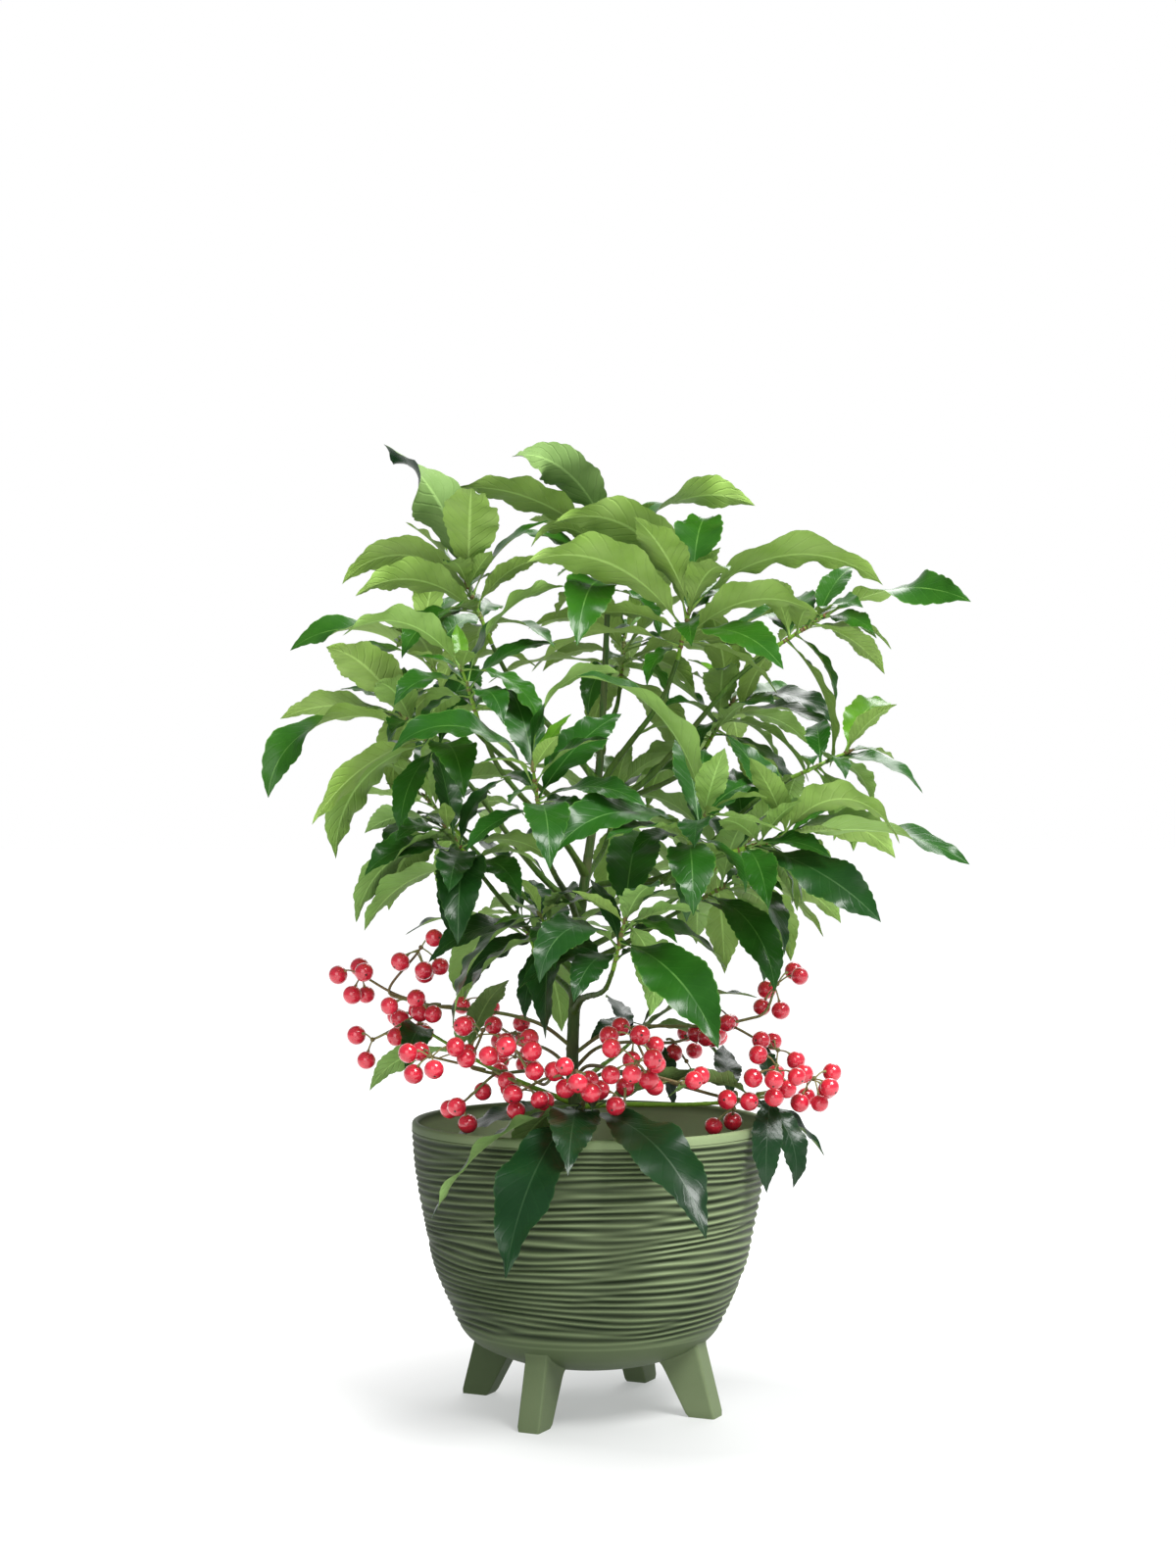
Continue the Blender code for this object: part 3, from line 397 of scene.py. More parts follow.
def bowl_radius(height):
    """Radius of the outer wall, without ridges, at a height."""
    return np.interp(height, [z for r, z in BOWL], [r for r, z in BOWL])


def smooth_bowl(rows):
    """The foot's and wall's profile as one smooth curve through the bowl's points."""
    return spline(BOWL, rows)


def waves(angle, height, rule, rounds, pace, count):
    """A sum of waves round the bowl that also run slowly with the height; about -1 to 1."""
    total = 0.0
    for _ in range(count):
        around = rule.integers(1, rounds + 1)
        along = rule.normal() / pace
        total = total + np.sin(around * angle + along * TURN * height + rule.uniform(0, TURN))
    return total / math.sqrt(count)


def ridged_wall():
    """Radius and height of the ridged wall on a grid, by height and angle.

    A crest is one half of a wave of height over pitch, less a wander round the bowl. A second
    set of ridges lies a little closer. Where a slow wave hands over from one set to the other,
    ridges meet, fork and fade. The third grid is how dark the wall is painted: painted shade in
    the grooves and a painted highlight on the upper flank of each crest, as if lit from above,
    made by the same waves moved up a little.
    """
    rule = np.random.default_rng(11)
    top = RIM_TOP - LIP_HEIGHT
    height = np.linspace(top, RIB_LOW, POT_DOWN)[:, None]
    angle = np.linspace(0, TURN, POT_AROUND, endpoint=False)[None, :]
    profile = smooth_bowl(400)
    plain = np.interp(height, profile[:, 1], profile[:, 0])
    calm = np.clip((top - height) / CALM, 0, 1)
    wander = (0.34 * waves(angle, height, rule, 3, 90.0, 5)
              + 0.26 * waves(angle, height, rule, 3, 34.0, 6)
              + 0.10 * waves(angle, height, rule, 7, 45.0, 7)) * calm
    one = (top - height) / RIDGE_PITCH + wander
    other = one * 1.17 + 0.5 * waves(angle, height, rule, 4, 60.0, 5) * calm
    share = np.clip(0.5 + 1.2 * waves(angle, height, rule, 5, 30.0, 6), 0, 1)

    def crest(ahead):
        one_crest, other_crest = [(0.5 - 0.5 * np.cos(TURN * (phase + ahead))) ** 1.25
                                  for phase in (one, other)]
        return one_crest * (1 - share) + other_crest * share

    strong = 0.8 + 0.2 * waves(angle, height, rule, 9, 10.0, 6)
    fade = np.clip((height - RIB_LOW) / 6.0, 0, 1) * np.clip((top - height) / 0.8, 0, 1)
    low = (1 - crest(0.0)) * fade * strong
    dark = (1 - crest(LIT_FLANK_SHIFT)) * fade * np.clip(strong + 0.15, 0.5, 1)
    return plain - low * RIDGE_DEPTH, height + 0 * angle, dark


# %% pot mesh
def round_rings(profile):
    """Rings of points from a profile of (radius, height)."""
    angle = np.linspace(0, TURN, POT_AROUND, endpoint=False)
    radius, height = np.array(profile).T[:, :, None]
    return np.stack([radius * np.cos(angle), radius * np.sin(angle), height + 0 * angle], axis=2)


def pot_rings():
    """Rings from the floor inside, up, over the lip and down to the underside, and their marks.

    The first mark is how dark the ridged wall is painted, as painted shade in the grooves and
    a painted highlight on the crests' upper flanks, with the foot at a fixed painted shade; the
    second is 1 on the inside, which the finish paints pale as painted light.
    """
    inner = spline([(3.0, POT_FLOOR), (30.0, POT_FLOOR), (50.0, 33.5), (65.5, 51.0),
                    (73.4, 65.6), (80.0, 90.5), (84.9, 115.0), (86.6, 134.0), (86.7, 138.5)], 30)
    edge = np.linspace(0, math.pi, 9)
    lip = np.stack([88.35 - 1.65 * np.cos(edge), 142.4 + 1.8 * np.sin(edge)], axis=1)
    below = [(90.0, 141.0), (90.0, 139.8)]
    radius, height, dark = ridged_wall()
    angle = np.linspace(0, TURN, POT_AROUND, endpoint=False)
    wall = np.stack([radius * np.cos(angle), radius * np.sin(angle), height], axis=2)
    foot = smooth_bowl(90)
    foot = foot[foot[:, 1] < RIB_LOW - 0.6][::-1][::2]
    under = [(26.0, POT_BOTTOM), (3.0, POT_BOTTOM)]
    above = np.concatenate([round_rings(inner), round_rings(lip), round_rings(below)])
    rest = np.concatenate([round_rings(foot), round_rings(under)])
    rings = np.concatenate([above, wall, rest])
    marks = np.zeros(rings.shape[:2] + (2,))
    marks[len(above):len(above) + len(wall), :, 0] = dark
    # painted shade on the smooth foot and the underside
    marks[len(above) + len(wall):, :, 0] = FOOT_PAINTED_SHADE
    # the inside, which the finish paints pale as painted light
    marks[:len(inner), :, 1] = 1.0
    return rings, marks


FOOT_LOW, FOOT_HIGH = 0.028, 0.085     # metres up, between which the painted shade at the foot gives way and the wall grows paler
SHADY, SUNNY = -0.07, 0.06             # metres towards the key lamp, between which the painted shade on the far side gives way
SHADE_GREEN = (0.040, 0.064, 0.024)


def pot_plastic(name, green, pale_green, grooved):
    """Matt moulded plastic: sage green in soft clouds, painted shade dark in the grooves, and painted
    light paler inside.

    Painted shade darkens the side away from the key lamp: the colour grows paler with x less most
    of y, and on the wall with the height as well, as painted shade towards the foot.
    """
    made, wire, shader, place = finish(name, 0.5, Specular_IOR_Level=0.14)
    cloud = wire.noise(place, 14.0, 3.0, (1, 1, 2.5))
    grain = wire.noise(place, 2600.0, 2.0)
    tone = (0.75 * cloud + 0.25 * grain).clamp(0.3, 0.7).blend(green, pale_green)
    x, y, height = [wire.node("ShaderNodeSeparateXYZ", {}, {"Vector": place}, k)
                    for k in range(3)]
    # painted shade: darker on the side away from the key lamp and, on the wall, towards the foot
    painted_light_share = 0.25 + 0.75 * (x - 0.9 * y).clamp(SHADY, SUNNY)
    if grooved:
        painted_light_share = painted_light_share * (0.5 + 0.5 * height.clamp(FOOT_LOW, FOOT_HIGH))
    tone = painted_light_share.blend(SHADE_GREEN, tone)
    if grooved:
        marks = wire.node("ShaderNodeUVMap", {"uv_map": "place"})
        dark = wire.node("ShaderNodeSeparateXYZ", {}, {"Vector": marks}, 0)
        inside = wire.node("ShaderNodeSeparateXYZ", {}, {"Vector": marks}, 1)
        # painted shade in the grooves and a painted highlight on the crests' upper flanks, from the
        # first mark
        tone = (dark ** 0.55).blend(tone, (0.010, 0.018, 0.006))
        # painted light: the inside wall, shaded by the crown, is painted pale
        tone = inside.blend(tone, (0.400, 0.480, 0.290))
    feed(shader, "Base Color", tone)
    feed(shader, "Roughness", 0.44 + 0.16 * cloud)
    relief(shader, grain, 0.00006)
    return made


rings, marks = pot_rings()
marks = np.vstack([marks[:, ::-1].reshape(-1, 2), [(0, 1), (0, 0)]])
pot = Pile()
pot.add(skin(rings[:, ::-1], (0, 0, POT_FLOOR), (0, 0, POT_BOTTOM)), marks)
wall_plastic = pot_plastic("sage_wall", (0.190, 0.248, 0.122), (0.246, 0.312, 0.162), True)
pot.piece("ribbed_pot", [wall_plastic], ["pot"], "pot_plastic", sharp=50)

# %% [markdown]
# ## The legs
# Four splayed legs carry the bowl. Each is a tapering bar with softly rounded edges that runs
# into the bowl with a small fillet. A ring round the bar is carried from the floor up to the
# height where its own corner meets the bowl, so the top edge follows the bowl all round.

# %% legs
LEG_AZIMUTH = -25.3
LEG_OUTER, LEG_OUTER_LEAN = 70.6, 0.264
LEG_INNER, LEG_INNER_LEAN = 55.8, 0.56
LEG_WIDTH = 12.1
LEG_ROWS = 26
LEG_INTO_WALL = 0.9
LEG_ROUND = 0.14             # corner round as a share of half the bar


def bar_ring():
    """A square ring of half side one: flat faces, and a small round at every corner."""
    bevel = np.linspace(0, math.pi / 2, 4)
    corner = np.stack([1 - LEG_ROUND * (1 - np.cos(bevel)), 1 - LEG_ROUND * (1 - np.sin(bevel))], axis=1)
    inner = 1 - LEG_ROUND - np.array([0.06, 0.5])
    side = np.concatenate([np.stack([1 + 0 * inner, inner[::-1]], axis=1), corner,
                           np.stack([inner, 1 + 0 * inner], axis=1)])
    quarter = np.array([[0, -1], [1, 0]])
    return np.concatenate([side @ np.linalg.matrix_power(quarter.T, n) for n in range(4)])


def leg_rings(azimuth):
    """Rings of one leg, floor to bowl: a square bar between its leaning faces."""
    across, aside = bar_ring().T

    def place(height):
        outer = LEG_OUTER - LEG_OUTER_LEAN * height
        inner = LEG_INNER - LEG_INNER_LEAN * height
        return (outer + inner) / 2 + (outer - inner) / 2 * across, LEG_WIDTH / 2 * aside

    heights = np.linspace(0, 50, 500)[:, None]
    out, side = place(heights)
    gap = np.hypot(out, side) - bowl_radius(heights + 0 * out) + LEG_INTO_WALL
    meets = heights[np.argmax(gap < 0, axis=0), 0]
    share = np.linspace(0, 1, LEG_ROWS)[:, None] ** 0.85
    height = share * meets
    out, side = place(height)
    flare = 0.9 * np.exp(-(meets - height) / 1.2)
    foot = 0.5 * np.exp(-height / 0.4)
    out = out + across * (flare - foot)
    side = side + aside * (flare - foot)
    a = math.radians(azimuth)
    return np.stack([out * math.cos(a) - side * math.sin(a),
                     out * math.sin(a) + side * math.cos(a), height], axis=2)


legs = Pile()
for number in range(4):
    rings = leg_rings(LEG_AZIMUTH + 90 * number)
    legs.add(skin(rings, rings[0].mean(axis=0), rings[-1].mean(axis=0)))
# the legs get the same painted shade on the side away from the key lamp
leg_plastic = pot_plastic("sage_leg", (0.120, 0.158, 0.078), (0.156, 0.200, 0.104), False)
legs.piece("splayed_legs", [leg_plastic], ["leg_%d" % n for n in (1, 2, 3, 4)], "pot_plastic",
           sharp=60)

# %% [markdown]
# ## The soil
# Potting soil is dark crumbs of peat and bark. The bed is a disc whose height is a sum of
# waves of many sizes, and a few hundred crumbs, squashed balls turned at random, lie half sunk
# in it.

# %% soil
SOIL_EDGE = 84.2
CRUMBS = 420


def soil_height(x, y):
    """Height of the bed: the level, less a slight fall to the wall, plus waves of many sizes."""
    rule = np.random.default_rng(5)
    height = SOIL_LEVEL - 0.9 - 2.0 * (np.hypot(x, y) / SOIL_EDGE) ** 2
    for size in (40.0, 18.0, 9.0, 5.0, 3.2):
        for _ in range(4):
            turn, shift = rule.uniform(0, TURN, 2)
            wave = np.sin((x * math.cos(turn) + y * math.sin(turn)) * TURN / size + shift)
            height = height + wave * size * 0.012
    return height


def bed_rings():
    """Rings of the bed from the middle out, then down the wall and in to the underside."""
    angle = np.linspace(0, TURN, 150, endpoint=False)[None, :]
    radius = np.linspace(1.5, SOIL_EDGE, 56)[:, None]
    x, y = radius * np.cos(angle), radius * np.sin(angle)
    top = np.stack([x, y, soil_height(x, y)], axis=2)
    low = np.stack([x[[-1, 20]] * 0.985, y[[-1, 20]] * 0.985, 0 * x[[-1, 20]] + 106], axis=2)
    return np.concatenate([top, low])


def ball_rings(rows, count):
    """Rings of a unit ball, pole to pole along +z."""
    down = np.linspace(0, math.pi, rows + 2)[1:-1, None]
    turn = np.linspace(0, TURN, count, endpoint=False)[None, :]
    return np.stack([np.sin(down) * np.cos(turn), np.sin(down) * np.sin(turn),
                     -np.cos(down) + 0 * turn], axis=2)


def turned_by(rule):
    """A random turn as a 3 by 3 matrix."""
    made, _ = np.linalg.qr(rule.normal(size=(3, 3)))
    return made * np.sign(np.linalg.det(made))


def soil_crumbs():
    """Dark peat with paler bark, rough all over."""
    made, wire, shader, place = finish("potting_soil", 0.95)
    coarse = wire.noise(place, 260.0, 5.0)
    fine = wire.noise(place, 1500.0, 4.0)
    tone = (0.6 * coarse + 0.4 * fine).clamp(0.36, 0.68)
    feed(shader, "Base Color", tone.blend((0.012, 0.008, 0.005), (0.085, 0.058, 0.036)))
    relief(shader, fine, 0.0006)
    return made


rule = np.random.default_rng(8)
soil = Pile()
soil.add(skin(bed_rings()[::-1], (0, 0, 106), (0, 0, float(soil_height(0.0, 0.0)))))
unit = ball_rings(4, 6)
for _ in range(CRUMBS):
    x, y = rule.uniform(-1, 1, 2) * 80
    if math.hypot(x, y) > 81 or math.hypot(x + 5, y) < 9:
        continue
    shape = np.diag(rule.uniform(0.6, 2.4, 3)) @ turned_by(rule)
    middle = np.array([x, y, float(soil_height(x, y))])
    soil.add(skin(unit @ shape + middle, (0, 0, -1) @ shape + middle, (0, 0, 1) @ shape + middle))
soil.piece("soil_bed", [soil_crumbs()], ["soil"], "soil")

# %% [markdown]
# ## How the plant grows
# The trunk is one leaning, tapering line. Boughs leave it at their own heights, bow outward
# and arrive at a whorl from below, so a short table of whorls, each with the middle of its
# leaves, its lean and the height it leaves the trunk at, is enough to draw every limb. The
# solids were grown from the same table.

# %% table of whorls
TRUNK = [(-5, 0, SOIL_LEVEL + 0.3), (-5, 0, 124), (-8, 0, 150), (-9, 1, 175), (-7, 2, 215),
         (-4, 1, 255), (1, -1, 290), (5, 0, 325), (7, 2, 360), (9, 1, 404)]
TRUNK_FOOT, TRUNK_TIP = 3.9, 1.5
FLARE, FLARE_HEIGHT = 3.6, 9.0
TRUNK_RINGS = 22
BOUGH_ROOT, BOUGH_TIP, BOUGH_RINGS = 1.9, 1.15, 6
STEM_TIP, STEM_RINGS = 0.7, 6
BELOW_HUB, ABOVE_HUB = 24.0, 8.0

Spray = namedtuple("Spray", "name hub lean parent take_off leaves length phase")
SPRAYS = [
    Spray("top_centre", (10, 0, 430), 4, "trunk", 404, 8, 78, 200),
    Spray("top_left", (-58, -25, 405), 24, "trunk", 314, 8, 70, 10),
    Spray("top_right", (49, -30, 398), 16, "trunk", 308, 9, 78, 120),
    Spray("right_upper", (114, 10, 396), 58, "trunk", 300, 9, 66, 60),
    Spray("back_centre", (18, 66, 388), 26, "trunk", 330, 8, 74, 30),
    Spray("left_upper", (-86, 42, 381), 34, "trunk", 288, 7, 74, 80),
    Spray("left_front", (-60, -60, 362), 24, "trunk", 268, 6, 60, 0),
    Spray("right_back", (72, 58, 352), 38, "trunk", 294, 8, 72, 140),
    Spray("left_mid", (-87, -20, 341), 46, "trunk", 250, 9, 76, 300),
    Spray("front_left", (-26, -90, 313), 30, "trunk", 240, 6, 62, 230),
    Spray("right_tip", (121, -25, 326), 66, "front_right", 0.62, 3, 52, 90),
    Spray("back_low", (14, 84, 306), 48, "trunk", 262, 7, 74, 10),
    Spray("left_back", (-82, 58, 302), 50, "trunk", 236, 7, 72, 200),
    Spray("front_right", (52, -85, 293), 42, "trunk", 256, 7, 62, 20),
    Spray("right_front", (89, -60, 286), 74, "front_right", 0.88, 8, 66, 150),
    Spray("left_low", (-66, -40, 285), 42, "trunk", 218, 8, 66, 40),
    Spray("right_outer", (78, 52, 280), 56, "trunk", 228, 7, 70, 100),
    Spray("right_low", (66, -24, 262), 62, "trunk", 222, 7, 68, 160),
    Spray("left_inner", (-22, -32, 243), 48, "trunk", 226, 5, 72, 250),
    Spray("front_low", (15, -85, 242), 40, "trunk", 198, 7, 66, 190),
    Spray("back_inner", (-36, 70, 240), 56, "trunk", 206, 7, 70, 60),
    Spray("low_left", (-74, -8, 184), 58, "trunk", 152, 4, 56, 270),
    Spray("low_back", (26, 62, 182), 60, "trunk", 160, 5, 74, 20),
    Spray("low_right", (84, -22, 158), 70, "trunk", 150, 4, 52, 330),
    Spray("low_front", (-4, -62, 156), 66, "trunk", 140, 5, 90, 170),
]
ON_TRUNK = ("top_centre", "left_inner", "low_left", "low_back", "low_right", "low_front")


# %% limbs
def trunk_path():
    """The trunk's centre line and radii; it starts straight up, and flares at the soil."""
    path = spline(TRUNK, TRUNK_RINGS)
    path[0] = TRUNK[0]
    path[1, :2] = TRUNK[0][:2]
    height = path[:, 2] - TRUNK[0][2]
    share = height / height[-1]
    radii = TRUNK_FOOT + (TRUNK_TIP - TRUNK_FOOT) * share ** 0.85
    return path, radii + FLARE * np.exp(-height / FLARE_HEIGHT * 1.6)


def on_trunk(height):
    """The middle of the trunk at a height."""
    return np.array([np.interp(height, trunk[:, 2], trunk[:, k]) for k in range(3)])


def heading(azimuth, rise):
    """Unit vector from an azimuth and a rise in degrees."""
    a, e = math.radians(azimuth), math.radians(rise)
    return np.array([math.cos(e) * math.cos(a), math.cos(e) * math.sin(a), math.sin(e)])


def bow(start, way, end, arrive, rings):
    """A cubic bow from start along way to end, arriving along arrive."""
    pull = np.linalg.norm(end - start) * 0.36
    t = np.linspace(0, 1, rings)[:, None]
    near, far = start + way * pull, end - arrive * pull
    return ((1 - t) ** 3 * start + 3 * (1 - t) ** 2 * t * near
            + 3 * (1 - t) * t ** 2 * far + t ** 3 * end)


def line(start, end, rings):
    """Even places from start to end."""
    return start + (end - start) * np.linspace(0, 1, rings)[:, None]


def grow_limbs():
    """Path and radii of each bough and of each whorl's own stem, by name."""
    limbs, stems = {}, {}
    for spray in sorted(SPRAYS, key=lambda s: s.parent != "trunk"):
        hub = np.array(spray.hub, float)
        if spray.parent == "trunk":
            start = on_trunk(spray.take_off)
        else:
            path = limbs[spray.parent][0]
            start = path[int(spray.take_off * (len(path) - 1))]
        out = hub - start
        azimuth = math.degrees(math.atan2(out[1], out[0]))
        axis = heading(azimuth, 90 - spray.lean)
        foot, tip = hub - axis * BELOW_HUB, hub + axis * ABOVE_HUB
        leave = heading(azimuth, max(90 - spray.lean - 12, 8))
        if spray.name == "top_centre":
            stems[spray.name] = (line(trunk[-1], tip, STEM_RINGS),
                                 np.linspace(TRUNK_TIP, STEM_TIP, STEM_RINGS))
        elif spray.name in ON_TRUNK:
            stems[spray.name] = (bow(start, leave, tip, axis, BOUGH_RINGS),
                                 np.linspace(BOUGH_ROOT * 0.8, STEM_TIP, BOUGH_RINGS))
        else:
            limbs[spray.name] = (bow(start, leave, foot, axis, BOUGH_RINGS),
                                 np.linspace(BOUGH_ROOT, BOUGH_TIP, BOUGH_RINGS))
            stems[spray.name] = (line(foot + axis * 0.3, tip, STEM_RINGS),
                                 np.linspace(BOUGH_TIP, STEM_TIP, STEM_RINGS))
    return limbs, stems


trunk, girth = trunk_path()
limbs, stems = grow_limbs()
print(len(limbs), "boughs,", len(stems), "whorls")

# %% [markdown]
# ## Where the leaves sit
# Ardisia leaves stand in crowded whorls at the end of each year's growth, a golden angle apart.
# Each blade leaves the stem steeply, arches over and hangs at the tip, so a leaf here is only
# five numbers: azimuth, rise, length, droop and roll. Leaves on the outline were measured: how
# far the tip lies across and above its whorl, and on which side. The others follow the golden
# angle. A leaf that would pass through a limb, the pot or another leaf is turned a little, and
# if it still does, it isn't grown.

# %% leaves on the outline
LEAF_SHAPE = (0.0, 0.17, 0.43, 0.73, 1.0)
FILLING_SHAPE = (0.0, 0.24, 0.62, 1.0)
SMALL_LEAF = 61.0
BLADE_START = 0.08
LOW_BROAD, HIGH_BROAD = 0.168, 0.152
NO_TWIST = (0, 1)
TWIST_RUN = 0.5
EYE = np.array([-1.0, -1339.0, 299.3])
LEAF_FOLD = 0.22
LEAF_THICK = 0.0125
PETIOLE = 0.75
DROOP_POWER = 1.25
GOLDEN = 137.5
OPEN_OLD, OPEN_YOUNG = 86.0, 34.0
OUTER_START = 0.1
LEAF_AIR = 1.3
OWN_AIR = 0.3
CROWN_MIDDLE = (12, 0, 325)
CROWN_REACH = (158, 150, 152)

Leaf = namedtuple("Leaf", "root azimuth rise length droop roll twist broad stations")
NEAR, FAR = -1, 1
SHOWN = {
    "top_centre": [(-50, 50, 84, 78, NEAR, 35), (-79, 34, 92, 50, NEAR, 30),
                   (74, 25, 92, 85, FAR, -35), (-40, 4, 58, 135, NEAR, 30),
                   (-49, 11, 60, 60, FAR, -20)],
    "top_left": [(-1, 56, 88, 45, NEAR, 10), (-45, 78, 96, 55, NEAR, 15),
                 (-66, 8, 82, 118, NEAR, 45), (-59, 2, 74, 82, NEAR, 50),
                 (-34, 39, 72, 40, FAR, 20)],
    "top_right": [(10, 46, 78, 85, FAR, 0), (97, 14, 108, 92, NEAR, 28),
                  (-67, 45, 98, 105, NEAR, 45), (-81, 25, 104, 74, NEAR, 38),
                  (65, -1, 84, 76, NEAR, 32)],
    "right_upper": [(81, 11, 90, 51, NEAR, 40), (21, 29, 50, 40, FAR, -15),
                    (31, -5, 50, 60, NEAR, -30), (28, -13, 52, 50, FAR, 12),
                    (-2, 7, 46, 40, NEAR, 25), (-30, 5, 55, 60, FAR, -20)],
    "left_upper": [(20, 30, 52, 60, FAR, -10), (-71, 3, 92, 90, FAR, 35)],
    "left_front": [(-60, 23, 76, 88, NEAR, 22), (48, 47, 78, 70, FAR, 25),
                   (18, -20, 48, 90, NEAR, -15), (-19, -23, 56, 110, FAR, 30)],
    "left_mid": [(-45, 41, 84, 40, NEAR, 35), (-68, 5, 76, 50, FAR, 38),
                 (-77, -36, 98, 115, FAR, 30), (-52, -48, 82, 40, NEAR, 62),
                 (-40, -65, 88, 85, FAR, 20), (24, -35, 68, 90, NEAR, -10)],
    "front_left": [(40, 52, 78, 112, FAR, 30), (-13, 47, 60, 40, FAR, -10),
                   (-68, 15, 86, 113, NEAR, -35), (41, 33, 76, 30, FAR, -30),
                   (7, -41, 68, 95, NEAR, 0)],
    "right_tip": [(29, 27, 60, 70, FAR, -25), (48, -18, 64, 86, NEAR, -20)],
    "front_right": [(-59, 71, 104, 79, NEAR, -20), (12, 37, 48, 20, NEAR, 10),
                    (-12, 41, 58, 60, FAR, 20), (-70, -14, 88, 82, NEAR, -42),
                    (29, 20, 56, 60, FAR, -30), (-3, -43, 68, 95, NEAR, 0)],
    "right_front": [(-12, 40, 50, 30, NEAR, 15), (61, -2, 86, 115, NEAR, 42),
                    (59, -9, 80, 77, FAR, 42), (95, -12, 104, 50, FAR, 30),
                    (-27, 9, 46, 40, NEAR, 30), (52, -40, 84, 30, NEAR, -48),
                    (28, -9, 50, 50, NEAR, -30)],
    "left_low": [(-33, -34, 70, 80, FAR, 45), (-49, -40, 74, 80, FAR, 20),
                 (48, -10, 58, 60, FAR, 30), (1, -51, 76, 95, NEAR, 0),
                 (32, -28, 52, 70, NEAR, -25)],
    "right_low": [(59, -18, 72, 60, FAR, 30), (31, -34, 76, 90, NEAR, 35),
                  (34, -37, 78, 90, FAR, 20), (26, -52, 72, 75, NEAR, -25),
                  (19, -35, 56, 80, FAR, -25)],
    "left_inner": [(-46, -49, 88, 80, NEAR, 40), (-41, -38, 76, 60, NEAR, 35)],
    "front_low": [(10, 48, 82, 60, FAR, -5), (18, 22, 54, 60, NEAR, -15),
                  (50, -18, 80, 65, FAR, -35), (46, -55, 94, 50, NEAR, -35),
                  (-39, -24, 74, 125, NEAR, -30), (-23, -33, 54, 70, NEAR, -20)],
    "low_left": [(-19, -15, 54, 95, NEAR, -50), (-37, -25, 60, 80, FAR, 50)],
    "low_right": [(0, -44, 58, 85, NEAR, -40), (17, -44, 56, 90, NEAR, -30),
                  (33, -30, 58, 50, FAR, -20)],
    "low_front": [(-37, -82, 110, 55, NEAR, 0), (-73, -54, 106, 60, NEAR, 40),
                  (60, -63, 110, 70, NEAR, -20), (0, -47, 82, 70, NEAR, 15),
                  (-65, -17, 76, 50, FAR, -25)],
}
# leaves further in that show between those on the outline
INNER = {
    "back_centre": [(-52, 5, 56, 60, NEAR, 25), (-31, 30, 50, 40, FAR, 15),
                    (70, -29, 80, 60, NEAR, 30), (24, -30, 50, 85, NEAR, 20),
                    (-19, -37, 54, 100, NEAR, -20)],
    "top_left": [(25, 14, 36, 30, FAR, 20)],
    "top_right": [(32, 9, 38, 20, FAR, -20)],
    "right_upper": [(-51, -16, 60, 85, FAR, -20), (-34, 2, 42, 30, FAR, -15),
                    (-7, 9, 34, 40, FAR, 15)],
    "right_back": [(53, -2, 60, 40, FAR, -30), (51, -19, 70, 85, NEAR, -25),
                   (44, -17, 56, 60, FAR, 30), (44, -37, 70, 70, NEAR, 35),
                   (-33, 3, 42, 80, NEAR, -20), (-10, -16, 44, 90, NEAR, 20)],
    "right_front": [(-23, 51, 62, 30, FAR, -20), (11, 33, 44, 40, FAR, 15)],
    "back_low": [(31, 18, 46, 50, NEAR, 25)],
    "left_front": [(27, -29, 56, 80, NEAR, -20)],
    "left_back": [(50, 12, 64, 60, NEAR, 30)],
    "left_mid": [(-6, 31, 42, 30, FAR, 15)],
    "left_low": [(-45, 4, 60, 60, FAR, 30), (-30, 0, 50, 80, NEAR, -25),
                 (-45, -17, 66, 80, NEAR, -35)],
    "left_inner": [(-6, 23, 42, 30, FAR, 15), (34, 11, 50, 60, NEAR, -25),
                   (-47, -66, 100, 80, FAR, -50), (0, -56, 70, 90, NEAR, 55),
                   (-28, -32, 62, 70, FAR, -45)],
    "front_right": [(40, -3, 48, 20, NEAR, 20)],
    "right_low": [(31, 8, 44, 30, FAR, 30), (62, -21, 80, 60, FAR, 35),
                  (-26, -1, 38, 60, FAR, 20)],
    "back_inner": [(-31, -46, 70, 90, FAR, 30), (21, -58, 72, 60, FAR, 30)],
    "front_low": [(13, -40, 58, 100, FAR, 20)],
    "low_back": [(-26, -4, 44, 60, NEAR, -20), (36, -28, 60, 80, NEAR, 40),
                 (18, -40, 56, 80, NEAR, 20), (-21, 22, 48, 60, FAR, 30),
                 (16, 20, 44, 50, FAR, -30)],
    "low_right": [(-4, 31, 38, 30, FAR, 10), (-44, -21, 60, 60, NEAR, 35),
                  (-25, 32, 50, 20, FAR, 25)],
    "low_front": [(-41, -24, 58, 80, FAR, 40), (5, -14, 40, 80, NEAR, 25),
                  (-64, -17, 76, 60, NEAR, -30), (53, 30, 66, 20, FAR, 40)],
}
# leaves that turn over along their length: by how much, and from which share on
TWISTED = {("top_centre", 0): (165, 0.52), ("top_centre", 2): (95, 0.3),
           ("top_left", 1): (165, 0.34), ("right_upper", 0): (-100, 0.25),
           ("left_upper", 1): (-100, 0.35), ("left_mid", 2): (-110, 0.35),
           ("right_front", 3): (-85, 0.4)}


# %% a leaf's line and its plain solid
def half_width(leaf, s):
    """Half the blade's width at a share of its length: narrow root, widest at the middle."""
    s = np.asarray(s, float)
    u = np.clip((s - BLADE_START) / (1 - BLADE_START), 0, 1)
    blade = leaf.broad * leaf.length * np.sin(np.pi * u ** 0.92) ** 1.1
    return np.maximum(blade, PETIOLE * (1 - s))


